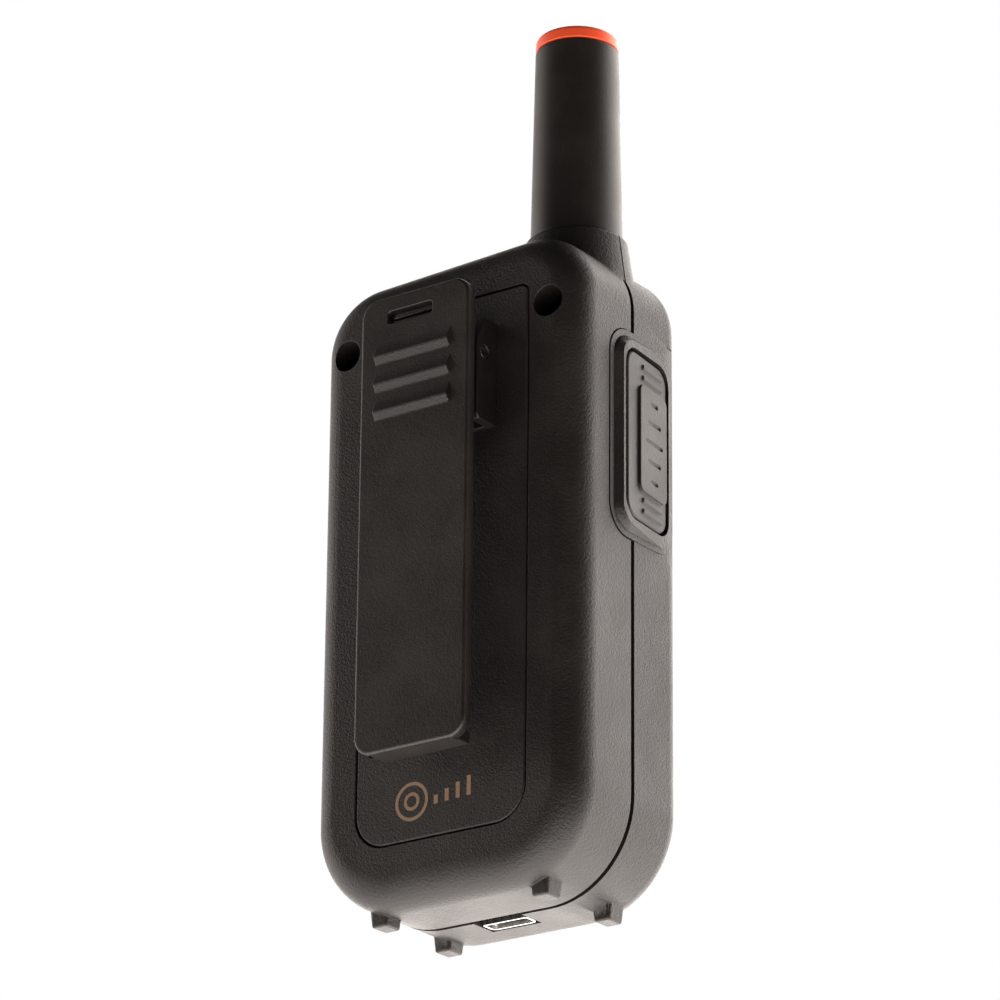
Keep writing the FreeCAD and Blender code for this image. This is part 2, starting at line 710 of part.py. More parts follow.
def build_talk_button():
    owner = body("talk_button")
    grow(owner, talk_profile(owner, "talk_bottom", "0", "talk_rear", "talk_front"),
         "talk_top-talk_bottom")
    dress(owner, "Fillet", runs_along("x"), "2.6")
    dress(owner, "Fillet", lambda edge: not runs_along("x")(edge)
          and edge.BoundBox.XMax < value("-case_width/2+2"), "0.45")
    flange = sketch(owner, "YZ_Plane", "-case_width/2+2.1")
    rectangle(flange, "-talk_front-0.6", "talk_rear+1", "talk_bottom-1", "talk_top+1")
    grow(owner, flange, "0.7")
    grow(owner, talk_profile(owner, "60.7", "0.45", "-0.2", "talk_front-0.55"), "16.4")
    dress(owner, "Fillet", lambda edge: runs_along("x")(edge)
          and (lies_at("z", "60.7")(edge) or lies_at("z", "60.7+16.4")(edge)), "1.2")
    for low in ("57.45", "59.1", "77.95", "79.6"):
        grow(owner, talk_profile(owner, low, "0.3", "-1.4", "7.3"), "0.75")
    # engraved level-meter strokes, longer toward the middle
    for step, reach in enumerate((1.0, 1.9, 2.5, 1.9, 1.0)):
        stroke = talk_profile(owner, f"{62.65 + 3.0 * step}", "0.15", f"-4.4+{reach}",
                              f"4.4+{reach}", "-talk_out-2")
        sink(owner, stroke, "0.5", reverse=True)


# ---------------------------------------------------------------- keys

def build_keys():
    for label, (x, z) in KEY_PLACES.items():
        owner = body(label)
        crown = sketch(owner, "XZ_Plane", "front_depth-wall-1.1")
        circle(crown, x, z, "key_size/2-0.05")
        grow(owner, crown, "wall+1.1+key_proud")
        dress(owner, "Fillet", lies_at("y", "-front_depth-key_proud"), "0.5")
        rim = sketch(owner, "XZ_Plane", "front_depth-wall-1.1")
        circle(rim, x, z, "key_size/2+0.45")
        grow(owner, rim, "0.7")


# ---------------------------------------------------------------- front fittings

def build_window():
    owner = body("display_window")
    outline = sketch(owner, "XZ_Plane", "front_depth-window_thick")
    rounded(outline, "-window_width/2", "window_width/2", "window_bottom", "window_top", "1.9")
    grow(owner, outline, "window_thick-0.15")
    dress(owner, "Fillet", lies_at("y", "-front_depth+0.15"), "0.25")


def build_display():
    owner = body("display_module")
    outline = sketch(owner, "XZ_Plane", "5.6")
    rounded(outline, "-15.5", "15.5", "window_bottom+0.4", "window_top-0.4", "0.6")
    grow(owner, outline, "4.2")
    holder = body("display_holder")
    frame = sketch(holder, "XZ_Plane", "1.85")
    rectangle(frame, "-15.2", "15.2", "window_bottom+1", "window_top-1")
    grow(holder, frame, "3.65")
    inside = sketch(holder, "XZ_Plane", "1.85")
    rectangle(inside, "-13.6", "13.6", "window_bottom+2.6", "window_top-2.6")
    sink(holder, inside, "3.65", reverse=True)


def build_speaker():
    face = "wall-front_depth"
    frame = rod("speaker_can", "speaker_radius", "3.6", "0", f"{face}+0.6", "speaker_height", "y")
    bowl = rod("speaker_bowl", "speaker_radius-1", "2.2", "0", f"{face}+0.4", "speaker_height",
               "y")
    seat = rod("speaker_seat", "5.6", "2", "0", f"{face}+2.4", "speaker_height", "y")
    cut("speaker_frame", frame, join("speaker_room", bowl, seat))
    magnet = rod("speaker_magnet_disc", "5.4", "2", "0", f"{face}+4.3", "speaker_height", "y")
    soften("speaker_magnet", magnet, "0.3")
    cone = doc.addObject("Part::Cone", "speaker_cone")
    cone.Label = "speaker_cone"
    bind(cone, Radius1="speaker_radius-1.6", Radius2="4", Height="1.4")
    cone.Placement.Rotation = FreeCAD.Rotation(FreeCAD.Vector(1, 0, 0), -90)
    place(cone, "0", f"{face}+0.7", "speaker_height")
    rod("speaker_felt", "speaker_radius", "0.5", "0", f"{face}+0.05", "speaker_height", "y")


def build_microphone():
    face = "wall-front_depth"
    rod("microphone", "2", "2.4", "0", f"{face}+1.1", "8.2", "y")
    boot = rod("boot_outer", "2.8", "3.2", "0", f"{face}+0.05", "8.2", "y")
    room = rod("boot_room", "2.05", "4", "0", f"{face}+1.05", "8.2", "y")
    sound = rod("boot_sound", "0.5", "3", "0", f"{face}-0.5", "8.2", "y")
    cut("microphone_boot", boot, join("boot_hollow", room, sound))


# ---------------------------------------------------------------- electronics

def build_board():
    owner = body("main_board")
    outline = sketch(owner, "XZ_Plane", "board_rear")
    rounded(outline, "-board_half", "board_half", "board_bottom", "board_top", "9.5", "3")
    grow(owner, outline, "board_thick")
    holes = sketch(owner, "XZ_Plane", "0")
    for side in ("-", ""):
        circle(holes, f"{side}screw_spread/2", "screw_height", "2.7")
    sink(owner, holes, "4", reverse=True)


def build_board_parts():
    can = block("can_blank", "-8", "12", "-board_rear", "2.4-board_rear", "76", "90")
    soften("shield_can", can, "0.4", lambda edge: edge.BoundBox.YMin > 1)
    chips = [block("chip_main", "-16", "-9.5", "-board_rear", "0.6", "77", "83.5"),
             block("chip_sound", "-15", "-11", "-board_rear", "0.5", "10", "14"),
             block("chip_power", "9", "13", "-board_rear", "0.5", "9", "12.5")]
    group = doc.addObject("Part::Compound", "radio_chips")
    group.Label = "radio_chips"
    group.Links = chips
    domes = []
    front = "board_rear+board_thick"
    for label, (x, z) in KEY_PLACES.items():
        domes.append(rod(f"{label}_dome", "2.4", "0.7", x, f"-({front})-0.7", z, "y"))
    group = doc.addObject("Part::Compound", "key_domes")
    group.Label = "key_domes"
    group.Links = domes
    box = block("switch_box", "-19", "-15.6", f"-({front})-3", f"-({front})", "66.3", "71.3")
    plunger = block("switch_plunger", "-19.7", "-18.9", f"-({front})-2", f"-({front})-1", "68.2",
                    "69.4")
    join("talk_switch", box, plunger)


def build_key_mat():
    """Rubber sheet that lies over the domes, behind the keys."""
    owner = body("key_mat")
    outline = sketch(owner, "XZ_Plane", "board_rear+board_thick+0.75")
    rounded(outline, "-17.5", "17.5", "key_row-10", "key_row+10", "2")
    grow(owner, outline, "0.6")
    bosses = sketch(owner, "XZ_Plane", "board_rear+board_thick+1.3")
    for x, z in KEY_PLACES.values():
        circle(bosses, x, z, "1.6")
    grow(owner, bosses, "front_depth-wall-1.1-key_travel-board_rear-board_thick-1.5")


def build_socket():
    """Charging socket: a flared thin shell with a contact tongue inside."""
    owner = body("socket_shell")
    outline = sketch(owner, "XY_Plane", "case_bottom+0.05")
    rounded(outline, "-socket_half", "socket_half", "-socket_rear-socket_depth", "-socket_rear",
            "0.9", "0.5")
    grow(owner, outline, "socket_length")
    inside = sketch(owner, "XY_Plane", "case_bottom")
    rounded(inside, "-socket_half+0.3", "socket_half-0.3", "-socket_rear-socket_depth+0.3",
            "-socket_rear-0.3", "0.6", "0.3")
    sink(owner, inside, "socket_length-0.3", reverse=True)
    block("socket_tongue", "-2.6", "2.6", "-socket_rear-1.5", "-socket_rear-0.9",
          "case_bottom+0.9", "case_bottom+socket_length-0.1")


def build_battery():
    blank = block("cell_blank", "-cell_width/2", "cell_width/2", "5", "5+cell_thick", "17",
                  "17+cell_height")
    soften("battery_cell", blank, "1.6", runs_along("z"))
    block("battery_foam", "-cell_width/2+3", "cell_width/2-3", "3.9", "4.95", "20",
          "14+cell_height")
    block("battery_plug", "-4", "4", "-board_rear", "2.8", "68.5", "72.5")


build_rear_case()
build_front_case()
build_back_panel()
build_case_screws()
build_clip_bracket()
build_clip_pin()
build_belt_clip()
build_clip_spring()
build_antenna()
build_talk_button()
build_keys()
build_window()
build_display()
build_speaker()
build_microphone()
build_board()
build_board_parts()
build_key_mat()
build_socket()
build_battery()

NODES = [
    "rear_case", "front_case", "back_panel", "case_screws", "clip_bracket", "clip_pin",
    "belt_clip", "clip_spring", "antenna_sleeve", "antenna_cap", "antenna_core",
    "antenna_winding", "talk_button", "power_key", "menu_key", "up_key", "down_key",
    "display_window", "display_module", "display_holder", "speaker_frame", "speaker_magnet",
    "speaker_cone", "speaker_felt", "microphone", "microphone_boot", "main_board", "shield_can",
    "radio_chips", "key_domes", "key_mat", "talk_switch", "socket_shell", "socket_tongue",
    "battery_cell", "battery_foam", "battery_plug",
]

doc.recompute()
for item in doc.Objects:
    if "Invalid" in item.State or "Error" in item.State:
        raise RuntimeError(f"{item.Label} is {item.State}")

os.makedirs("parts", exist_ok=True)
for label in NODES:
    found = doc.getObjectsByLabel(label)
    if len(found) != 1:
        raise RuntimeError(f"{label} names {len(found)} objects")
    shape = found[0].Shape
    if shape.isNull() or not shape.isValid() or not shape.Solids:
        raise RuntimeError(f"{label} has no valid solid")
    shape.exportStep(f"parts/{label}.step")
    print(label, round(shape.Volume, 1), len(shape.Solids))
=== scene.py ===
import json
import math

import bmesh
import bpy
from bpy.props import FloatProperty, FloatVectorProperty, PointerProperty
from mathutils import Matrix, Vector
from mathutils.bvhtree import BVHTree

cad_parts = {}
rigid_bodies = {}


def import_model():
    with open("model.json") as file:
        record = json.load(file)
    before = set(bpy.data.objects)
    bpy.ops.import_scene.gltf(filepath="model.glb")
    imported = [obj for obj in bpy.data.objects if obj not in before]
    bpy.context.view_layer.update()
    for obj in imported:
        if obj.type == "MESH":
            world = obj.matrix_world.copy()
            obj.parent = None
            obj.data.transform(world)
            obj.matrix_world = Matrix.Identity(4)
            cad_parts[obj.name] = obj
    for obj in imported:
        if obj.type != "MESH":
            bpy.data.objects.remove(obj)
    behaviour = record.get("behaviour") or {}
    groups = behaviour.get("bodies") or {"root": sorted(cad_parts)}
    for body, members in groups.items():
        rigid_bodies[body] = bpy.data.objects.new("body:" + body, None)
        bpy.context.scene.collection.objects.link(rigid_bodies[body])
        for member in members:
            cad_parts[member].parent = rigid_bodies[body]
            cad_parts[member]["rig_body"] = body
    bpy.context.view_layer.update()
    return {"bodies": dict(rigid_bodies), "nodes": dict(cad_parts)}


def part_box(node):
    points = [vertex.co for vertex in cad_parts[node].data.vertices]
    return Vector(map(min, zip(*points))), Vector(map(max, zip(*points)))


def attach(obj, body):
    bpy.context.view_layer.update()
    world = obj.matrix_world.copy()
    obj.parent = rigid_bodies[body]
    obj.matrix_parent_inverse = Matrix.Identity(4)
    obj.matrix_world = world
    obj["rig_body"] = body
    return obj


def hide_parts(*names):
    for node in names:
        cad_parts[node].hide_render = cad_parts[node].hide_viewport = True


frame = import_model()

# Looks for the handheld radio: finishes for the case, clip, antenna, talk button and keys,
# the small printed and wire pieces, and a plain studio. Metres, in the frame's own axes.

bl_info = {
    "name": "Handheld Radio Builder",
    "version": (1, 0, 0),
    "blender": (4, 5, 0),
    "location": "3D View > Sidebar > Radio",
    "description": "Dresses the radio's frame with finishes and small pieces, and sets the studio",
    "category": "Object",
}

WELD = 2e-6  # corners closer than this are one corner
FLAT = math.radians(0.4)  # faces that turn by less than this are one face
STRAY = 0.8  # share of the rounding beyond which a corner is drawn back in
CREASE_MARGIN = 3.0  # degrees by which shading stays smooth past the rounded edges


# ------------------------------------------------------------------ shader node helpers

class Nodes:
    """Adds and wires shader nodes in one tree, with plain names for the sockets."""

    def __init__(self, tree):
        self.tree = tree

    def add(self, kind, inputs=None, **settings):
        node = self.tree.nodes.new(kind)
        for name, setting in settings.items():
            setattr(node, name, setting)
        for name, source in (inputs or {}).items():
            self.feed(node.inputs[name], source)
        return node

    def feed(self, socket, source):
        if isinstance(source, bpy.types.NodeSocket):
            self.tree.links.new(source, socket)
        else:
            socket.default_value = source

    def math(self, operation, *values, clamp=False):
        node = self.tree.nodes.new("ShaderNodeMath")
        node.operation = operation
        node.use_clamp = clamp
        for socket, source in zip(node.inputs, values):
            self.feed(socket, source)
        return node.outputs[0]

    def span(self, source, low, high, to_low=0.0, to_high=1.0, smooth=False):
        node = self.add("ShaderNodeMapRange", {"Value": source, "From Min": low, "From Max": high,
                                               "To Min": to_low, "To Max": to_high})
        node.interpolation_type = "SMOOTHSTEP" if smooth else "LINEAR"
        return node.outputs["Result"]

    def mix(self, factor, first, second):
        node = self.tree.nodes.new("ShaderNodeMix")
        node.data_type = "RGBA"
        self.feed(node.inputs["Factor"], factor)
        self.feed(node.inputs["A"], first)
        self.feed(node.inputs["B"], second)
        return node.outputs["Result"]


def shader_group(name, inputs, outputs):
    """An empty shader group with float, vector or colour sockets, and its helper."""
    group = bpy.data.node_groups.new(name, "ShaderNodeTree")
    for label, kind, default in inputs:
        socket = group.interface.new_socket(label, in_out="INPUT", socket_type=kind)
        if default is not None:
            socket.default_value = default
    for label, kind in outputs:
        group.interface.new_socket(label, in_out="OUTPUT", socket_type=kind)
    kit = Nodes(group)
    return group, kit, kit.add("NodeGroupInput"), kit.add("NodeGroupOutput")


FLOAT = "NodeSocketFloat"
COLOR = "NodeSocketColor"
VECTOR = "NodeSocketVector"


def mould_grain_group():
    """Spark-eroded mould texture: fine pits over soft, slightly stretched wrinkles."""
    group, kit, given, result = shader_group(
        "Mould grain",
        [("Position", VECTOR, None), ("Grain size", FLOAT, 0.0003), ("Wrinkle", FLOAT, 0.6)],
        [("Height", FLOAT)])
    scale = kit.math("DIVIDE", 1.0, given.outputs["Grain size"])
    pits = kit.add("ShaderNodeTexNoise", {"Vector": given.outputs["Position"], "Scale": scale,
                                          "Detail": 3.0, "Roughness": 0.55})
    wrinkles = kit.add("ShaderNodeTexVoronoi", {"Vector": given.outputs["Position"],
                                                "Scale": kit.math("MULTIPLY", scale, 0.55)})
    wrinkles.feature = "SMOOTH_F1"
    wrinkles.inputs["Smoothness"].default_value = 0.7
    folded = kit.math("MULTIPLY", wrinkles.outputs["Distance"], given.outputs["Wrinkle"])
    height = kit.math("SUBTRACT", pits.outputs["Fac"], folded)
    kit.feed(result.inputs["Height"], height)
    return group


def handling_group():
    """Slow patches of polish and dust that a handled moulding picks up."""
    group, kit, given, result = shader_group(
        "Handling",
        [("Position", VECTOR, None), ("Roughness", FLOAT, 0.5), ("Spread", FLOAT, 0.08),
         ("Colour", COLOR, (0.02, 0.02, 0.02, 1.0)), ("Dust", FLOAT, 0.3)],
        [("Colour", COLOR), ("Roughness", FLOAT)])
    patches = kit.add("ShaderNodeTexNoise", {"Vector": given.outputs["Position"], "Scale": 85.0,
                                             "Detail": 4.0, "Roughness": 0.6})
    rub = kit.span(patches.outputs["Fac"], 0.3, 0.7, -1.0, 1.0)
    offset = kit.math("MULTIPLY", rub, given.outputs["Spread"])
    kit.feed(result.inputs["Roughness"],
             kit.math("ADD", given.outputs["Roughness"], offset, clamp=True))
    specks = kit.add("ShaderNodeTexNoise", {"Vector": given.outputs["Position"], "Scale": 2600.0,
                                            "Detail": 2.0})
    dust = kit.math("MULTIPLY", kit.span(specks.outputs["Fac"], 0.62, 0.8, 0.0, 1.0),
                    given.outputs["Dust"])
    haze = kit.math("MULTIPLY", kit.span(patches.outputs["Fac"], 0.45, 0.8), 0.12)
    pale = kit.mix(kit.math("ADD", kit.math("MULTIPLY", dust, 0.25), haze, clamp=True),
                   given.outputs["Colour"], (0.09, 0.082, 0.076, 1.0))
    kit.feed(result.inputs["Colour"], pale)
    return group


def brushed_group():
    """Fine parallel drawing marks on metal, along one axis."""
    group, kit, given, result = shader_group(
        "Drawn marks",
        [("Position", VECTOR, None), ("Along", VECTOR, (1.0, 1.0, 1.0)), ("Depth", FLOAT, 1.0)],
        [("Height", FLOAT), ("Roughness", FLOAT)])
    stretched = kit.add("ShaderNodeVectorMath", {0: given.outputs["Position"],
                                                 1: given.outputs["Along"]})
    stretched.operation = "MULTIPLY"
    marks = kit.add("ShaderNodeTexNoise", {"Vector": stretched.outputs[0], "Scale": 2500.0,
                                           "Detail": 4.0})
    kit.feed(result.inputs["Height"],
             kit.math("MULTIPLY", marks.outputs["Fac"], given.outputs["Depth"]))
    kit.feed(result.inputs["Roughness"], kit.span(marks.outputs["Fac"], 0.3, 0.7, 0.22, 0.38))
    return group


GROUPS = {}


def group_of(name):
    makers = {"Mould grain": mould_grain_group, "Handling": handling_group,
              "Drawn marks": brushed_group}
    if name not in GROUPS:
        GROUPS[name] = makers[name]()
    return GROUPS[name]


def blank_material(name):
    """A material with a Principled shader, its helper and the object's own coordinates."""
    material = bpy.data.materials.new(name)
    material.use_nodes = True
    kit = Nodes(material.node_tree)
    shader = material.node_tree.nodes["Principled BSDF"]
    place = kit.add("ShaderNodeTexCoord").outputs["Object"]
    return material, kit, shader, place


def use_group(kit, name, inputs):
    node = kit.add("ShaderNodeGroup")
    node.node_tree = group_of(name)
    for label, source in inputs.items():
        kit.feed(node.inputs[label], source)
    return node


def moulded(name, colour, roughness, grain, depth, wrinkle=0.6, spread=0.06, dust=0.3,
            specular=0.5):
    """Textured moulded plastic or rubber."""
    material, kit, shader, place = blank_material(name)
    worn = use_group(kit, "Handling", {"Position": place, "Roughness": roughness,
                                       "Spread": spread, "Colour": (*colour, 1.0), "Dust": dust})
    texture = use_group(kit, "Mould grain", {"Position": place, "Grain size": grain,
                                             "Wrinkle": wrinkle})
    bump = kit.add("ShaderNodeBump", {"Height": texture.outputs["Height"], "Distance": depth,
                                      "Strength": 1.0})
    kit.feed(shader.inputs["Base Color"], worn.outputs["Colour"])
    kit.feed(shader.inputs["Roughness"], worn.outputs["Roughness"])
    kit.feed(shader.inputs["Normal"], bump.outputs["Normal"])
    shader.inputs["Specular IOR Level"].default_value = specular
    return material


def drawn_metal(name, colour, along=(1.0, 0.06, 1.0), depth=1.0):
    """Plated or spring steel, brass and copper with fine drawing marks."""
    material, kit, shader, place = blank_material(name)
    marks = use_group(kit, "Drawn marks", {"Position": place, "Along": along, "Depth": depth})
    bump = kit.add("ShaderNodeBump", {"Height": marks.outputs["Height"], "Distance": 0.00002,
                                      "Strength": 0.6})
    stain = kit.add("ShaderNodeTexNoise", {"Vector": place, "Scale": 900.0, "Detail": 3.0})
    darker = tuple(0.72 * channel for channel in colour)
    tint = kit.mix(kit.span(stain.outputs["Fac"], 0.35, 0.7), (*colour, 1.0), (*darker, 1.0))
    kit.feed(shader.inputs["Base Color"], tint)
    kit.feed(shader.inputs["Roughness"], marks.outputs["Roughness"])
    kit.feed(shader.inputs["Normal"], bump.outputs["Normal"])
    shader.inputs["Metallic"].default_value = 1.0
    return material


def printed_ink(name, colour):
    """Pad-printed ink, a little broken where the grain beneath stands up."""
    material, kit, shader, place = blank_material(name)
    texture = use_group(kit, "Mould grain", {"Position": place, "Grain size": 0.00022,
                                             "Wrinkle": 0.4})
    thin = kit.span(texture.outputs["Height"], 0.1, 0.5, 0.55, 1.0)
    dark = tuple(0.55 * channel for channel in colour)
    kit.feed(shader.inputs["Base Color"], kit.mix(thin, (*dark, 1.0), (*colour, 1.0)))
    bump = kit.add("ShaderNodeBump", {"Height": texture.outputs["Height"], "Distance": 0.00003})
    kit.feed(shader.inputs["Normal"], bump.outputs["Normal"])
    shader.inputs["Roughness"].default_value = 0.6
    return material


def woven(name, colour, pitch):
    """Plain weave of acoustic cloth or wire net, in the x and z directions."""
    material, kit, shader, place = blank_material(name)
    parts = kit.add("ShaderNodeSeparateXYZ", {"Vector": place})
    turns = 2 * math.pi / pitch
    warp = kit.math("SINE", kit.math("MULTIPLY", parts.outputs["X"], turns))
    weft = kit.math("SINE", kit.math("MULTIPLY", parts.outputs["Z"], turns))
    weave = kit.math("MULTIPLY", warp, weft)
    fuzz = kit.add("ShaderNodeTexNoise", {"Vector": place, "Scale": 5200.0, "Detail": 2.0})
    height = kit.math("ADD", weave, fuzz.outputs["Fac"])
    bump = kit.add("ShaderNodeBump", {"Height": height, "Distance": 0.00006})
    dark = tuple(0.35 * channel for channel in colour)
    kit.feed(shader.inputs["Base Color"],
             kit.mix(kit.span(weave, -1.0, 1.0), (*dark, 1.0), (*colour, 1.0)))
    kit.feed(shader.inputs["Normal"], bump.outputs["Normal"])
    shader.inputs["Roughness"].default_value = 0.85
    return material


def tinted_window(name):
    """Dark hard-coated acrylic with faint wipe marks."""
    material, kit, shader, place = blank_material(name)
    shader.inputs["Base Color"].default_value = (0.012, 0.013, 0.015, 1.0)
    wipes = kit.add("ShaderNodeTexNoise", {"Vector": place, "Scale": 160.0, "Detail": 6.0,
                                           "Distortion": 1.2})
    kit.feed(shader.inputs["Roughness"], kit.span(wipes.outputs["Fac"], 0.35, 0.75, 0.05, 0.16))
    shader.inputs["Alpha"].default_value = 0.5
    shader.inputs["Specular IOR Level"].default_value = 0.35
    return material


def display_glass(name):
    """Reflective liquid crystal: grey-green with faint rows across it."""
    material, kit, shader, place = blank_material(name)
    parts = kit.add("ShaderNodeSeparateXYZ", {"Vector": place})
    pitch = 0.00035
    rows = kit.math("SINE", kit.math("MULTIPLY", parts.outputs["Z"], 2 * math.pi / pitch))
    cloud = kit.add("ShaderNodeTexNoise", {"Vector": place, "Scale": 260.0, "Detail": 3.0})
    blend = kit.math("ADD", kit.math("MULTIPLY", rows, 0.12), cloud.outputs["Fac"])
    kit.feed(shader.inputs["Base Color"],
             kit.mix(kit.span(blend, 0.2, 0.8), (0.22, 0.27, 0.19, 1.0), (0.3, 0.36, 0.26, 1.0)))
    shader.inputs["Roughness"].default_value = 0.35
    return material


def circuit_board(name):
    """Solder mask with buried tracks."""
    material, kit, shader, place = blank_material(name)
    tracks = kit.add("ShaderNodeTexVoronoi", {"Vector": place, "Scale": 420.0})
    tracks.distance = "MANHATTAN"
    lines = kit.span(tracks.outputs["Distance"], 0.42, 0.5)
    kit.feed(shader.inputs["Base Color"],
             kit.mix(lines, (0.012, 0.11, 0.05, 1.0), (0.03, 0.2, 0.09, 1.0)))
    bump = kit.add("ShaderNodeBump", {"Height": lines, "Distance": 0.00003})
    kit.feed(shader.inputs["Normal"], bump.outputs["Normal"])
    shader.inputs["Roughness"].default_value = 0.35
    return material


# ------------------------------------------------------------------ mesh helpers

def body_of(node):
    return frame["nodes"][node]["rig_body"]


def new_object(name, mesh):
    item = bpy.data.objects.new(name, mesh)
    bpy.context.scene.collection.objects.link(item)
    return item


def evaluated_mesh(item, name):
    """The item's mesh with its modifiers carried out, as a mesh of its own."""
    depsgraph = bpy.context.evaluated_depsgraph_get()
    mesh = bpy.data.meshes.new_from_object(item.evaluated_get(depsgraph), depsgraph=depsgraph)
    mesh.name = name
    return mesh


def draw_in(mesh, original, reach):
    """Bring corners that the rounding threw too far back onto the original surface."""
    surface = BVHTree.FromPolygons([vertex.co for vertex in original.vertices],
                                   [face.vertices[:] for face in original.polygons])
    for vertex in mesh.vertices:
        nearest, _, _, distance = surface.find_nearest(vertex.co)
        if distance > reach:
            vertex.co = nearest


def finish_part(node, name, material, edge=0.0, crease=32.0):
    """Stand a welded, smoothly shaded piece in for one frame node, its edges rounded by edge."""
    work = bmesh.new()
    work.from_mesh(frame["nodes"][node].data)
    bmesh.ops.remove_doubles(work, verts=work.verts, dist=WELD)
    bmesh.ops.dissolve_limit(work, angle_limit=FLAT, verts=work.verts, edges=work.edges,
                             use_dissolve_boundaries=False)
    mesh = bpy.data.meshes.new(name)
    work.to_mesh(mesh)
    work.free()
    mesh.materials.clear()
    mesh.materials.append(material)
    for face in mesh.polygons:
        face.material_index = 0
    rough = new_object(name + "_rough", mesh)
    if edge:
        bevel = rough.modifiers.new("Rounded edges", "BEVEL")
        bevel.width = edge
        bevel.segments = 2
        bevel.limit_method = "ANGLE"
        bevel.angle_limit = math.radians(crease)
        bevel.use_clamp_overlap = False
        bevel.miter_outer = "MITER_ARC"
        rounded = evaluated_mesh(rough, name)
        rough.modifiers.remove(bevel)
        draw_in(rounded, frame["nodes"][node].data, STRAY * edge)
        rough.data = rounded
    rough.data.shade_smooth()
    rough.data.set_sharp_from_angle(angle=math.radians(crease + CREASE_MARGIN))
    even = rough.modifiers.new("Even shading", "WEIGHTED_NORMAL")
    even.keep_sharp = True
    even.weight = 60
    mesh = evaluated_mesh(rough, name)
    bpy.data.objects.remove(rough)
    item = new_object(name, mesh)
    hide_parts(node)
    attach(item, body_of(node))
    return item


def paint(node, material):
    """Give a frame node its finish."""
    item = frame["nodes"][node]
    item.data.materials.clear()
    item.data.materials.append(material)
    for face in item.data.polygons:
        face.material_index = 0


# ------------------------------------------------------------------ geometry-node helpers

class Tree:
    """A geometry-node tree with named inputs, ending in Realize Instances and Set Material."""

    def __init__(self, name, inputs):
        self.group = bpy.data.node_groups.new(name, "GeometryNodeTree")
        self.sockets = {}
        for label, kind, default in inputs:
            socket = self.group.interface.new_socket(label, in_out="INPUT", socket_type=kind)
            if default is not None:
                socket.default_value = default
            self.sockets[label] = socket.identifier
        finish = self.group.interface.new_socket("Finish", in_out="INPUT",
                                                 socket_type="NodeSocketMaterial")
        self.sockets["Finish"] = finish.identifier
        self.group.interface.new_socket("Geometry", in_out="OUTPUT",
                                        socket_type="NodeSocketGeometry")
        self.kit = Nodes(self.group)
        self.given = self.kit.add("NodeGroupInput")
        self.result = self.kit.add("NodeGroupOutput")

    def add(self, kind, inputs=None, **settings):
        return self.kit.add(kind, inputs, **settings)

    def math(self, operation, *values):
        return self.kit.math(operation, *values)

    def point(self, x, y, z):
        return self.add("ShaderNodeCombineXYZ", {"X": x, "Y": y, "Z": z}).outputs[0]

    def get(self, label):
        return self.given.outputs[label]

    def close(self, geometry):
        realized = self.add("GeometryNodeRealizeInstances", {"Geometry": geometry})
        painted = self.add("GeometryNodeSetMaterial", {"Geometry": realized.outputs[0],
                                                       "Material": self.get("Finish")})
        self.kit.feed(self.result.inputs["Geometry"], painted.outputs["Geometry"])

    def grow(self, name, material, crease=35.0, **inputs):
        """Run the tree once and hand back its result as a plain mesh object."""
        rough = new_object(name + "_rough", bpy.data.meshes.new(name + "_rough"))
        modifier = rough.modifiers.new("Shape", "NODES")
        modifier.node_group = self.group
        modifier[self.sockets["Finish"]] = material
        for label, number in inputs.items():
            modifier[self.sockets[label.replace("_", " ")]] = number
        mesh = evaluated_mesh(rough, name)
        bpy.data.objects.remove(rough)
        if not mesh.polygons:
            raise RuntimeError(f"{name} came out empty")
        mesh.shade_smooth()
        mesh.set_sharp_from_angle(angle=math.radians(crease))
        return new_object(name, mesh)


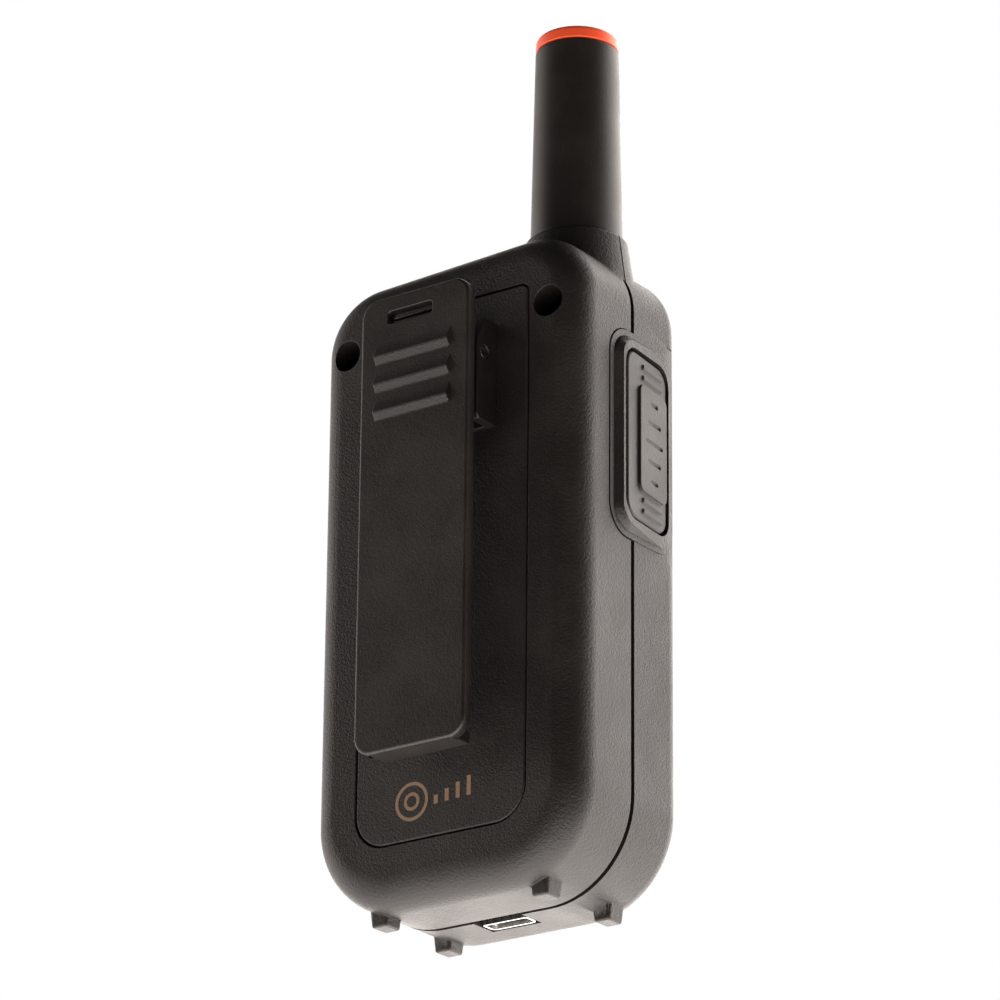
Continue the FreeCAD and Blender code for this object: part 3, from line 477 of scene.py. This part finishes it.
def turned_stub_tree():
    """A tapered round stub standing on z, with rounded rims: the antenna's sleeve and cap."""
    tree = Tree("Turned stub", [
        ("Centre", VECTOR, None), ("Root radius", FLOAT, 0.00678), ("Tip radius", FLOAT, 0.00615),
        ("Height", FLOAT, 0.03), ("Root round", FLOAT, 0.0002), ("Tip round", FLOAT, 0.0005),
        ("Rings", "NodeSocketInt", 320), ("Sides", "NodeSocketInt", 96)])
    line = tree.add("GeometryNodeMeshLine", {"Count": tree.get("Rings")})
    line.mode = "END_POINTS"
    tree.kit.feed(line.inputs["Offset"], tree.point(0.0, 0.0, tree.get("Height")))
    curve = tree.add("GeometryNodeMeshToCurve", {"Mesh": line.outputs["Mesh"]})
    spot = tree.add("ShaderNodeSeparateXYZ",
                    {"Vector": tree.add("GeometryNodeInputPosition").outputs[0]})
    share = tree.math("DIVIDE", spot.outputs["Z"], tree.get("Height"))
    taper = tree.math("ADD", tree.get("Root radius"), tree.math(
        "MULTIPLY", share, tree.math("SUBTRACT", tree.get("Tip radius"),
                                     tree.get("Root radius"))))
    radius = taper
    for label, distance in (("Root round", spot.outputs["Z"]),
                            ("Tip round", tree.math("SUBTRACT", tree.get("Height"),
                                                    spot.outputs["Z"]))):
        inward = tree.kit.math("DIVIDE", tree.math("SUBTRACT", tree.get(label), distance),
                               tree.get(label), clamp=True)
        rise = tree.math("SQRT", tree.math("SUBTRACT", 1.0, tree.math("MULTIPLY", inward,
                                                                      inward)))
        inset = tree.math("MULTIPLY", tree.get(label), tree.math("SUBTRACT", 1.0, rise))
        radius = tree.math("SUBTRACT", radius, inset)
    ring = tree.add("GeometryNodeCurvePrimitiveCircle", {"Resolution": tree.get("Sides"),
                                                         "Radius": 1.0})
    solid = tree.add("GeometryNodeCurveToMesh", {"Curve": curve.outputs["Curve"],
                                                 "Profile Curve": ring.outputs["Curve"],
                                                 "Scale": radius, "Fill Caps": True})
    moved = tree.add("GeometryNodeTransform", {"Geometry": solid.outputs["Mesh"],
                                               "Translation": tree.get("Centre")})
    tree.close(moved.outputs["Geometry"])
    return tree


def wound_wire_tree():
    """Round wire wound as a coil that rises along z."""
    tree = Tree("Wound wire", [
        ("Centre", VECTOR, None), ("Coil radius", FLOAT, 0.0016), ("Wire radius", FLOAT, 0.0003),
        ("Length", FLOAT, 0.0048), ("Turns", FLOAT, 7.0), ("Steps", "NodeSocketInt", 24),
        ("Sides", "NodeSocketInt", 10)])
    helix = tree.add("GeometryNodeCurveSpiral", {
        "Resolution": tree.get("Steps"), "Rotations": tree.get("Turns"),
        "Start Radius": tree.get("Coil radius"), "End Radius": tree.get("Coil radius"),
        "Height": tree.get("Length")})
    ring = tree.add("GeometryNodeCurvePrimitiveCircle", {"Resolution": tree.get("Sides"),
                                                         "Radius": tree.get("Wire radius")})
    wire = tree.add("GeometryNodeCurveToMesh", {"Curve": helix.outputs["Curve"],
                                                "Profile Curve": ring.outputs["Curve"],
                                                "Fill Caps": True})
    moved = tree.add("GeometryNodeTransform", {"Geometry": wire.outputs["Mesh"],
                                               "Translation": tree.get("Centre")})
    tree.close(moved.outputs["Geometry"])
    return tree


def bar_row_tree():
    """A row of thin bars, each taller than the last by the growth: prints, strips, segments."""
    tree = Tree("Bar row", [
        ("Start", VECTOR, None), ("Step", VECTOR, None), ("Bar size", VECTOR, None),
        ("Growth", FLOAT, 0.0), ("Count", "NodeSocketInt", 4)])
    line = tree.add("GeometryNodeMeshLine", {"Count": tree.get("Count"),
                                             "Start Location": tree.get("Start"),
                                             "Offset": tree.get("Step")})
    bar = tree.add("GeometryNodeMeshCube", {"Size": tree.get("Bar size")})
    order = tree.add("GeometryNodeInputIndex").outputs[0]
    stretch = tree.math("ADD", 1.0, tree.math("MULTIPLY", order, tree.get("Growth")))
    placed = tree.add("GeometryNodeInstanceOnPoints", {
        "Points": line.outputs["Mesh"], "Instance": bar.outputs["Mesh"],
        "Scale": tree.point(1.0, 1.0, stretch)})
    tree.close(placed.outputs["Instances"])
    return tree


def ring_tree():
    """A flat ring standing on the x-z plane: printed rings."""
    tree = Tree("Ring", [
        ("Centre", VECTOR, None), ("Radius", FLOAT, 0.0026), ("Breadth", FLOAT, 0.0005),
        ("Thickness", FLOAT, 0.00002), ("Sides", "NodeSocketInt", 72)])
    path = tree.add("GeometryNodeCurvePrimitiveCircle", {"Resolution": tree.get("Sides"),
                                                         "Radius": tree.get("Radius")})
    section = tree.add("GeometryNodeCurvePrimitiveQuadrilateral", {
        "Width": tree.get("Breadth"), "Height": tree.get("Thickness")})
    ring = tree.add("GeometryNodeCurveToMesh", {"Curve": path.outputs["Curve"],
                                                "Profile Curve": section.outputs["Curve"]})
    upright = tree.add("GeometryNodeTransform", {"Geometry": ring.outputs["Mesh"],
                                                 "Translation": tree.get("Centre"),
                                                 "Rotation": (math.pi / 2, 0.0, 0.0)})
    tree.close(upright.outputs["Geometry"])
    return tree


TREES = {}


def tree_of(name):
    makers = {"Turned stub": turned_stub_tree, "Wound wire": wound_wire_tree,
              "Bar row": bar_row_tree, "Ring": ring_tree}
    if name not in TREES:
        TREES[name] = makers[name]()
    return TREES[name]


def settle(item, node_or_body, slot, *replaced):
    """Seat a made piece on a frame body and hide the nodes it stands for; the slot argument is not
    used.
    """
    body = node_or_body if node_or_body in frame["bodies"] else body_of(node_or_body)
    if replaced:
        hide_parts(*replaced)
    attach(item, body)
    return item


# ------------------------------------------------------------------ settings

class RadioFinishes(bpy.types.PropertyGroup):
    """Colours and textures a user might change."""

    case_colour: FloatVectorProperty(
        name="Case colour", description="Black of the two shells", subtype="COLOR", size=3,
        default=(0.0105, 0.0086, 0.0076), min=0.0, max=1.0)
    case_roughness: FloatProperty(
        name="Case roughness", description="Base roughness of the shells' plastic",
        default=0.47, min=0.05, max=1.0, subtype="FACTOR")
    case_grain: FloatProperty(
        name="Case grain", description="Width of one pit of the shells' texture",
        default=0.00021, min=0.00005, max=0.003, unit="LENGTH", precision=5)
    case_grain_depth: FloatProperty(
        name="Case grain depth", description="Depth of the shells' texture",
        default=0.00008, min=0.0, max=0.001, unit="LENGTH", precision=6)
    clip_colour: FloatVectorProperty(
        name="Clip colour", description="Black of the belt clip", subtype="COLOR", size=3,
        default=(0.0115, 0.0095, 0.0084), min=0.0, max=1.0)
    cap_colour: FloatVectorProperty(
        name="Cap colour", description="Orange of the antenna's cap", subtype="COLOR", size=3,
        default=(0.95, 0.1, 0.03), min=0.0, max=1.0)
    mark_colour: FloatVectorProperty(
        name="Mark colour", description="Tan of the printed mark", subtype="COLOR", size=3,
        default=(0.25, 0.16, 0.1), min=0.0, max=1.0)


class RadioSizes(bpy.types.PropertyGroup):
    """Small sizes that the frame doesn't hold."""

    case_edge: FloatProperty(
        name="Case edge", description="Rounding of the shells' sharp edges",
        default=0.00012, min=0.0, max=0.001, unit="LENGTH", precision=5)
    part_edge: FloatProperty(
        name="Part edge", description="Rounding of the small parts' sharp edges",
        default=0.00018, min=0.0, max=0.001, unit="LENGTH", precision=5)
    sign_size: FloatProperty(
        name="Key sign size", description="Half width of the signs printed on the keys",
        default=0.0019, min=0.0005, max=0.004, unit="LENGTH", precision=5)
    print_rise: FloatProperty(
        name="Print thickness", description="How far the ink stands off the panel",
        default=0.00002, min=0.0, max=0.0005, unit="LENGTH", precision=6)


class RadioStudio(bpy.types.PropertyGroup):
    """Camera and light."""

    camera_azimuth: FloatProperty(
        name="Azimuth", description="Camera's turn round the radio",
        default=math.radians(216.09), subtype="ANGLE")
    camera_elevation: FloatProperty(
        name="Elevation", description="Camera's height above the horizon",
        default=math.radians(-21.24), subtype="ANGLE")
    camera_roll: FloatProperty(
        name="Roll", description="Camera's turn about its own view", default=math.radians(0.55),
        subtype="ANGLE")
    camera_distance: FloatProperty(
        name="Distance", description="From the camera to its aim", default=0.7244, min=0.1,
        unit="LENGTH")
    camera_aim: FloatVectorProperty(
        name="Aim", description="Point the camera looks at", default=(-0.0022, 0.0032, 0.0628),
        size=3, subtype="TRANSLATION", unit="LENGTH", precision=4)
    lens: FloatProperty(
        name="Lens", description="Focal length in millimetres", default=180.69, min=20.0)
    bright: FloatProperty(
        name="Bright side", description="Light from the keypad's side and from below",
        default=4.4, min=0.0)
    dim: FloatProperty(
        name="Dim side", description="Light from the clip's side and above", default=0.05,
        min=0.0)
    tint: FloatVectorProperty(
        name="Light colour", description="Warmth of all the lights", subtype="COLOR", size=3,
        default=(1.0, 0.93, 0.885), min=0.0, max=1.0)
    key_direction: FloatVectorProperty(
        name="Key direction", description="From the radio toward the key light", size=3,
        default=(0.86, 0.48, 0.14), subtype="DIRECTION")
    key_distance: FloatProperty(
        name="Key distance", description="From the radio to the key light", default=0.8,
        min=0.2, unit="LENGTH")
    key_size: FloatProperty(
        name="Key size", description="Width of the key light", default=0.3, min=0.01,
        unit="LENGTH")
    key_power: FloatProperty(
        name="Key power", description="Strength of the key light in watts", default=0.35,
        min=0.0)


# ------------------------------------------------------------------ operators

class RADIO_OT_studio(bpy.types.Operator):
    """Set the camera, the soft studio light and the pale floor"""

    bl_idname = "radio.studio"
    bl_label = "Studio"

    def execute(self, context):
        wanted = context.scene.radio_studio
        self.set_camera(context, wanted)
        self.set_light(context, wanted)
        self.set_floor(context)
        return {"FINISHED"}

    def set_camera(self, context, wanted):
        turn, tilt = wanted.camera_azimuth, wanted.camera_elevation
        back = Vector((math.sin(turn) * math.cos(tilt), -math.cos(turn) * math.cos(tilt),
                       math.sin(tilt)))
        lens = bpy.data.cameras.new("Camera")
        lens.lens = wanted.lens
        lens.sensor_width = 36.0
        lens.clip_start = 0.01
        lens.clip_end = 50.0
        camera = bpy.data.objects.new("Camera", lens)
        context.scene.collection.objects.link(camera)
        camera.rotation_mode = "QUATERNION"
        roll = Matrix.Rotation(wanted.camera_roll, 3, "Z").to_quaternion()
        camera.rotation_quaternion = back.to_track_quat("Z", "Y") @ roll
        camera.location = Vector(wanted.camera_aim) + wanted.camera_distance * back
        context.scene.camera = camera
        context.scene.view_settings.view_transform = "Standard"

    def set_light(self, context, wanted):
        world = bpy.data.worlds.new("Studio")
        context.scene.world = world
        world.use_nodes = True
        kit = Nodes(world.node_tree)
        ambient = world.node_tree.nodes["Background"]
        where = kit.add("ShaderNodeTexCoord").outputs["Generated"]
        parts = kit.add("ShaderNodeSeparateXYZ", {"Vector": where})
        lean, low_share, side_start = 0.15, 0.8, 0.5
        fade_start, fade_end = 0.14, 0.8
        lower = kit.math("MULTIPLY", parts.outputs["Z"], -lean)
        ahead = kit.math("SUBTRACT", lower, parts.outputs["Y"])
        below = kit.math("MULTIPLY", parts.outputs["Z"], -low_share)
        aside = kit.math("SUBTRACT", parts.outputs["X"], side_start)
        facing = kit.math("MAXIMUM", kit.math("MAXIMUM", ahead, below), aside)
        shade = kit.span(facing, fade_start, fade_end, wanted.dim, wanted.bright, smooth=True)
        kit.feed(ambient.inputs["Color"], (*wanted.tint, 1.0))
        kit.feed(ambient.inputs["Strength"], shade)
        backdrop = kit.add("ShaderNodeBackground", {"Color": (1.0, 1.0, 1.0, 1.0),
                                                    "Strength": 1.0})
        ray = kit.add("ShaderNodeLightPath").outputs["Is Camera Ray"]
        both = kit.add("ShaderNodeMixShader", {"Fac": ray, 1: ambient.outputs[0],
                                               2: backdrop.outputs[0]})
        kit.feed(world.node_tree.nodes["World Output"].inputs["Surface"], both.outputs[0])
        lamp = bpy.data.lights.new("Key light", "AREA")
        lamp.shape = "DISK"
        lamp.size = wanted.key_size
        lamp.energy = wanted.key_power
        lamp.color = wanted.tint
        key = bpy.data.objects.new("Key light", lamp)
        context.scene.collection.objects.link(key)
        toward = Vector(wanted.key_direction).normalized()
        key.location = Vector(wanted.camera_aim) + wanted.key_distance * toward
        key.rotation_mode = "QUATERNION"
        key.rotation_quaternion = toward.to_track_quat("Z", "Y")

    def set_floor(self, context):
        """A wide pale disc seen only from above, so that light still reaches the underside."""
        material, kit, shader, place = blank_material("Studio floor")
        speckle = kit.add("ShaderNodeTexNoise", {"Vector": place, "Scale": 300.0, "Detail": 3.0})
        tone = kit.mix(speckle.outputs["Fac"], (0.8, 0.8, 0.79, 1.0), (0.84, 0.84, 0.83, 1.0))
        kit.feed(shader.inputs["Base Color"], tone)
        shader.inputs["Roughness"].default_value = 0.9
        shader.inputs["Specular IOR Level"].default_value = 0.1
        clear = kit.add("ShaderNodeBsdfTransparent")
        under = kit.add("ShaderNodeNewGeometry").outputs["Backfacing"]
        both = kit.add("ShaderNodeMixShader", {"Fac": under, 1: shader.outputs[0],
                                               2: clear.outputs[0]})
        surface = material.node_tree.nodes["Material Output"].inputs["Surface"]
        kit.feed(surface, both.outputs[0])
        work = bmesh.new()
        bmesh.ops.create_circle(work, cap_ends=True, radius=3.0, segments=96)
        mesh = bpy.data.meshes.new("floor")
        work.to_mesh(mesh)
        work.free()
        mesh.materials.append(material)
        floor = new_object("floor", mesh)
        floor.visible_diffuse = False
        floor.visible_glossy = False
        floor.visible_transmission = False
        floor.visible_shadow = False


class RADIO_OT_case(bpy.types.Operator):
    """Finish both case shells, the back panel and the case screws"""

    bl_idname = "radio.case"
    bl_label = "Case"

    def execute(self, context):
        finish = context.scene.radio_finishes
        sizes = context.scene.radio_sizes
        shell = moulded("Textured black plastic", finish.case_colour, finish.case_roughness,
                        finish.case_grain, finish.case_grain_depth)
        finish_part("rear_case", "rear_shell", shell, sizes.case_edge)
        finish_part("front_case", "front_shell", shell)
        finish_part("back_panel", "back_plate", shell, sizes.case_edge)
        plated = drawn_metal("Plated screw steel", (0.5, 0.5, 0.5))
        finish_part("case_screws", "case_screw_set", plated, sizes.case_edge)
        return {"FINISHED"}


class RADIO_OT_clip(bpy.types.Operator):
    """Finish the belt clip, its bracket, hinge pin and spring"""

    bl_idname = "radio.clip"
    bl_label = "Belt clip"

    def execute(self, context):
        finish = context.scene.radio_finishes
        sizes = context.scene.radio_sizes
        smooth = moulded("Fine-grained clip plastic", finish.clip_colour, 0.43, 0.0002, 0.00005,
                         wrinkle=0.45)
        finish_part("belt_clip", "clip_arm", smooth, sizes.part_edge)
        finish_part("clip_bracket", "clip_mount", smooth, sizes.part_edge)
        steel = drawn_metal("Spring steel", (0.42, 0.42, 0.43))
        paint("clip_pin", steel)
        paint("clip_spring", steel)
        return {"FINISHED"}


class RADIO_OT_antenna(bpy.types.Operator):
    """Turn the antenna's sleeve and cap, and wind the coil inside"""

    bl_idname = "radio.antenna"
    bl_label = "Antenna"

    def execute(self, context):
        finish = context.scene.radio_finishes
        stub = tree_of("Turned stub")
        low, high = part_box("antenna_sleeve")
        cap_low, cap_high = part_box("antenna_cap")
        collar_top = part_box("rear_case")[1].z
        middle = (low.x + high.x) / 2
        rubber = moulded("Antenna sleeve rubber", (0.0105, 0.0086, 0.0076), 0.46, 0.00022,
                         0.000025, wrinkle=0.3)
        gap, taper = 0.0001, 0.0001
        foot = collar_top + gap
        sleeve = stub.grow("antenna_stub", rubber, Centre=(middle, 0.0, foot),
                           Root_radius=(high.x - low.x) / 2,
                           Tip_radius=(cap_high.x - cap_low.x) / 2,
                           Height=high.z - foot)
        settle(sleeve, "antenna_sleeve", "case", "antenna_sleeve")
        orange = moulded("Orange cap plastic", finish.cap_colour, 0.38, 0.0003, 0.000012,
                         wrinkle=0.3, dust=0.1)
        top = stub.grow("antenna_tip", orange, Centre=(middle, 0.0, cap_low.z),
                        Root_radius=(cap_high.x - cap_low.x) / 2,
                        Tip_radius=(cap_high.x - cap_low.x) / 2 - taper,
                        Height=cap_high.z - cap_low.z, Root_round=0.00012, Tip_round=0.0007,
                        Rings=80)
        settle(top, "antenna_cap", "cap", "antenna_cap")
        brass = drawn_metal("Brass core", (0.68, 0.48, 0.2))
        paint("antenna_core", brass)
        copper = drawn_metal("Enamelled copper", (0.62, 0.26, 0.12))
        wire_low, wire_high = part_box("antenna_winding")
        wire = 0.00022
        coil = tree_of("Wound wire").grow(
            "antenna_coil", copper, Centre=(middle, 0.0, wire_low.z + wire),
            Coil_radius=(wire_high.x - wire_low.x) / 2 - wire, Wire_radius=wire,
            Length=wire_high.z - wire_low.z - 2 * wire, Turns=34.0, Steps=20, Sides=8)
        settle(coil, "antenna_winding", "copper", "antenna_winding")
        return {"FINISHED"}


class RADIO_OT_talk_button(bpy.types.Operator):
    """Finish the talk button in the side of the case"""

    bl_idname = "radio.talk_button"
    bl_label = "Talk button"

    def execute(self, context):
        sizes = context.scene.radio_sizes
        soft = moulded("Soft-touch button", (0.0082, 0.0067, 0.0059), 0.52, 0.0003, 0.00004,
                       wrinkle=0.3)
        finish_part("talk_button", "talk_key", soft, sizes.part_edge)
        return {"FINISHED"}


class RADIO_OT_keys(bpy.types.Operator):
    """Finish the four front keys and print their plain signs"""

    bl_idname = "radio.keys"
    bl_label = "Keys"

    def execute(self, context):
        rubber = moulded("Key rubber", (0.024, 0.023, 0.023), 0.55, 0.00025, 0.00003, wrinkle=0.3)
        keys = ("power", "menu", "up", "down")
        for key in keys:
            finish_part(f"{key}_key", f"{key}_cap", rubber)
        ink = printed_ink("White key ink", (0.7, 0.7, 0.68))
        rise = context.scene.radio_sizes.print_rise
        reach = context.scene.radio_sizes.sign_size
        middle = {}
        for key in keys:
            low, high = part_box(f"{key}_key")
            middle[key] = Vector(((low.x + high.x) / 2, low.y - rise / 2, (low.z + high.z) / 2))
        ring = tree_of("Ring").grow("power_sign", ink, Centre=middle["power"],
                                    Radius=0.55 * reach, Breadth=0.2 * reach, Thickness=rise)
        settle(ring, "power_key", "light_plastic")
        step = Vector((0.0, 0.0, 0.42 * reach))
        lines = tree_of("Bar row").grow(
            "menu_sign", ink, Count=3, Start=middle["menu"] - step, Step=step,
            Bar_size=(1.3 * reach, rise, 0.16 * reach))
        settle(lines, "menu_key", "light_plastic")
        for key, way in (("up", 1.0), ("down", -1.0)):
            arrow = self.arrow(f"{key}_sign", middle[key], reach, rise, way)
            arrow.data.materials.append(ink)
            settle(arrow, f"{key}_key", "light_plastic")
        return {"FINISHED"}

    def arrow(self, name, middle, reach, rise, way):
        """A small flat arrowhead, its back on the key, pointing up or down by way."""
        work = bmesh.new()
        side_share, tail_share = 0.6, 0.4
        corners = [(-side_share * reach, -tail_share * way * reach),
                   (side_share * reach, -tail_share * way * reach),
                   (0.0, side_share * way * reach)]
        ends = [[work.verts.new(middle + Vector((x, side * rise / 2, z))) for x, z in corners]
                for side in (-1.0, 1.0)]
        work.faces.new(ends[0])
        work.faces.new(ends[1][::-1])
        for first, second in ((0, 1), (1, 2), (2, 0)):
            work.faces.new((ends[0][first], ends[0][second], ends[1][second], ends[1][first]))
        bmesh.ops.recalc_face_normals(work, faces=work.faces)
        mesh = bpy.data.meshes.new(name)
        work.to_mesh(mesh)
        work.free()
        return new_object(name, mesh)


class RADIO_OT_display(bpy.types.Operator):
    """Finish the display window, the display with its segments, and the holder"""

    bl_idname = "radio.display"
    bl_label = "Display"

    def execute(self, context):
        finish_part("display_window", "window_pane", tinted_window("Tinted window"))
        paint("display_module", display_glass("Display glass"))
        low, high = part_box("display_module")
        wide, tall = high.x - low.x, high.z - low.z
        segment = moulded("Display segments", (0.02, 0.024, 0.02), 0.4, 0.0003, 0.000004)
        rise = context.scene.radio_sizes.print_rise
        face = low.y - rise / 2
        # Places and sizes are shares of the display's width and height.
        rows = (
            {"name": "display_signal", "count": 4, "x": 0.16, "z": 0.74, "pitch": 0.05,
             "width": 0.035, "height": 0.06, "growth": 0.45},
            {"name": "display_level", "count": 9, "x": 0.2, "z": 0.26, "pitch": 0.075,
             "width": 0.045, "height": 0.1, "growth": 0.0},
            {"name": "display_charge", "count": 3, "x": 0.72, "z": 0.76, "pitch": 0.055,
             "width": 0.035, "height": 0.11, "growth": 0.0})
        for row in rows:
            bars = tree_of("Bar row").grow(
                row["name"], segment, Count=row["count"], Growth=row["growth"],
                Start=(low.x + row["x"] * wide, face, low.z + row["z"] * tall),
                Step=(row["pitch"] * wide, 0.0, 0.0),
                Bar_size=(row["width"] * wide, rise, row["height"] * tall))
            settle(bars, "display_module", "display")
        dial = tree_of("Ring").grow("display_dial", segment,
                                    Centre=((low.x + high.x) / 2, face, low.z + 0.54 * tall),
                                    Radius=0.13 * tall, Breadth=0.04 * tall, Thickness=rise)
        settle(dial, "display_module", "display")
        paint("display_holder", moulded("White holder", (0.72, 0.72, 0.69), 0.45, 0.0003,
                                        0.00001))
        return {"FINISHED"}


class RADIO_OT_sound(bpy.types.Operator):
    """Finish the speaker, its cloth and the microphone"""

    bl_idname = "radio.sound"
    bl_label = "Speaker and microphone"

    def execute(self, context):
        paint("speaker_frame", drawn_metal("Pressed speaker steel", (0.42, 0.42, 0.42)))
        paint("speaker_magnet", moulded("Sintered magnet", (0.16, 0.16, 0.165), 0.5, 0.0003,
                                        0.00003))
        paint("speaker_cone", moulded("Paper cone", (0.05, 0.05, 0.048), 0.8, 0.0002, 0.00004))
        paint("speaker_felt", woven("Acoustic cloth", (0.035, 0.035, 0.037), 0.0006))
        paint("microphone", drawn_metal("Microphone can", (0.6, 0.6, 0.58)))
        paint("microphone_boot", moulded("Boot rubber", (0.02, 0.02, 0.02), 0.6, 0.0003,
                                         0.00003))
        return {"FINISHED"}


class RADIO_OT_socket(bpy.types.Operator):
    """Finish the charging socket and lay its contact strips"""

    bl_idname = "radio.socket"
    bl_label = "Charging socket"

    def execute(self, context):
        sizes = context.scene.radio_sizes
        plated = drawn_metal("Tinned socket steel", (0.75, 0.74, 0.72), along=(1.0, 1.0, 0.1))
        finish_part("socket_shell", "socket_can", plated, sizes.case_edge / 2)
        paint("socket_tongue", moulded("Socket tongue", (0.02, 0.02, 0.021), 0.45, 0.0003,
                                       0.00001))
        low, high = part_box("socket_tongue")
        gold = drawn_metal("Gold contacts", (0.85, 0.6, 0.22))
        count, sunk, thickness = 5, 0.0003, 0.00008
        width_share, length_share = 0.45, 0.7
        across = (high.x - low.x) / count
        strips = tree_of("Bar row").grow(
            "socket_contacts", gold, Count=count,
            Start=(low.x + across / 2, high.y, (low.z + high.z) / 2 - sunk),
            Step=(across, 0.0, 0.0),
            Bar_size=(across * width_share, thickness, (high.z - low.z) * length_share))
        settle(strips, "socket_tongue", "brass")
        return {"FINISHED"}


class RADIO_OT_inside(bpy.types.Operator):
    """Finish the board, its parts, the key mat and the battery"""

    bl_idname = "radio.inside"
    bl_label = "Inside"

    def execute(self, context):
        paint("main_board", circuit_board("Circuit board"))
        paint("shield_can", drawn_metal("Shield can", (0.66, 0.66, 0.64)))
        paint("radio_chips", moulded("Chip epoxy", (0.014, 0.014, 0.015), 0.4, 0.0002,
                                     0.000008))
        paint("key_domes", drawn_metal("Key domes", (0.62, 0.62, 0.6)))
        rubber = moulded("Mat rubber", (0.05, 0.05, 0.052), 0.6, 0.0003, 0.00003)
        paint("key_mat", rubber)
        paint("talk_switch", moulded("Switch body", (0.03, 0.03, 0.032), 0.4, 0.0003, 0.00001))
        paint("battery_cell", moulded("Cell wrap", (0.05, 0.1, 0.32), 0.3, 0.0012, 0.00002,
                                      wrinkle=0.2))
        paint("battery_foam", moulded("Black foam", (0.025, 0.025, 0.025), 0.9, 0.0006,
                                      0.0002))
        paint("battery_plug", moulded("White plug", (0.74, 0.73, 0.7), 0.4, 0.0003, 0.00001))
        return {"FINISHED"}


class RADIO_OT_mark(bpy.types.Operator):
    """Print the plain tan mark low on the back panel"""

    bl_idname = "radio.mark"
    bl_label = "Printed mark"

    def execute(self, context):
        finish = context.scene.radio_finishes
        rise = context.scene.radio_sizes.print_rise
        ink = printed_ink("Tan ink", finish.mark_colour)
        low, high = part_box("back_panel")
        depth = high.y + rise / 2
        ring_side, ring_up, line = 0.0048, 0.0056, 0.0005
        centre = (ring_side, depth, low.z + ring_up)
        for name, radius in (("mark_ring", 0.0026), ("mark_core", 0.0011)):
            ring = tree_of("Ring").grow(name, ink, Centre=centre, Radius=radius, Breadth=line,
                                        Thickness=rise)
            settle(ring, "case", "case")
        bar_side, bar_up, pitch, climb = 0.0006, 0.0052, 0.0019, 0.00035
        bar_wide, bar_tall = 0.0007, 0.0013
        bars = tree_of("Bar row").grow(
            "mark_bars", ink, Count=4, Start=(bar_side, depth, low.z + bar_up),
            Step=(-pitch, 0.0, climb), Bar_size=(bar_wide, rise, bar_tall), Growth=0.4)
        settle(bars, "case", "case")
        return {"FINISHED"}


class RADIO_PT_builder(bpy.types.Panel):
    """Lists the steps and the settings"""

    bl_idname = "RADIO_PT_builder"
    bl_label = "Handheld radio"
    bl_space_type = "VIEW_3D"
    bl_region_type = "UI"
    bl_category = "Radio"

    def draw(self, context):
        layout = self.layout
        for group in ("radio_studio", "radio_finishes", "radio_sizes"):
            owner = getattr(context.scene, group)
            for name in owner.__annotations__:
                layout.prop(owner, name)
        for operator in OPERATORS:
            layout.operator(operator.bl_idname)


GROUP_CLASSES = {"radio_finishes": RadioFinishes, "radio_sizes": RadioSizes,
                 "radio_studio": RadioStudio}
OPERATORS = (RADIO_OT_studio, RADIO_OT_case, RADIO_OT_clip, RADIO_OT_antenna,
             RADIO_OT_talk_button, RADIO_OT_keys, RADIO_OT_display, RADIO_OT_sound,
             RADIO_OT_socket, RADIO_OT_inside, RADIO_OT_mark)


def register():
    for item in (*GROUP_CLASSES.values(), *OPERATORS, RADIO_PT_builder):
        bpy.utils.register_class(item)
    for name, group in GROUP_CLASSES.items():
        setattr(bpy.types.Scene, name, PointerProperty(type=group))


def unregister():
    for name in GROUP_CLASSES:
        delattr(bpy.types.Scene, name)
    for item in reversed((*GROUP_CLASSES.values(), *OPERATORS, RADIO_PT_builder)):
        bpy.utils.unregister_class(item)


def main():
    register()
    bpy.ops.radio.studio()
    bpy.ops.radio.case()
    bpy.ops.radio.clip()
    bpy.ops.radio.antenna()
    bpy.ops.radio.talk_button()
    bpy.ops.radio.keys()
    bpy.ops.radio.display()
    bpy.ops.radio.sound()
    bpy.ops.radio.socket()
    bpy.ops.radio.inside()
    bpy.ops.radio.mark()


if __name__ == "__main__":
    main()
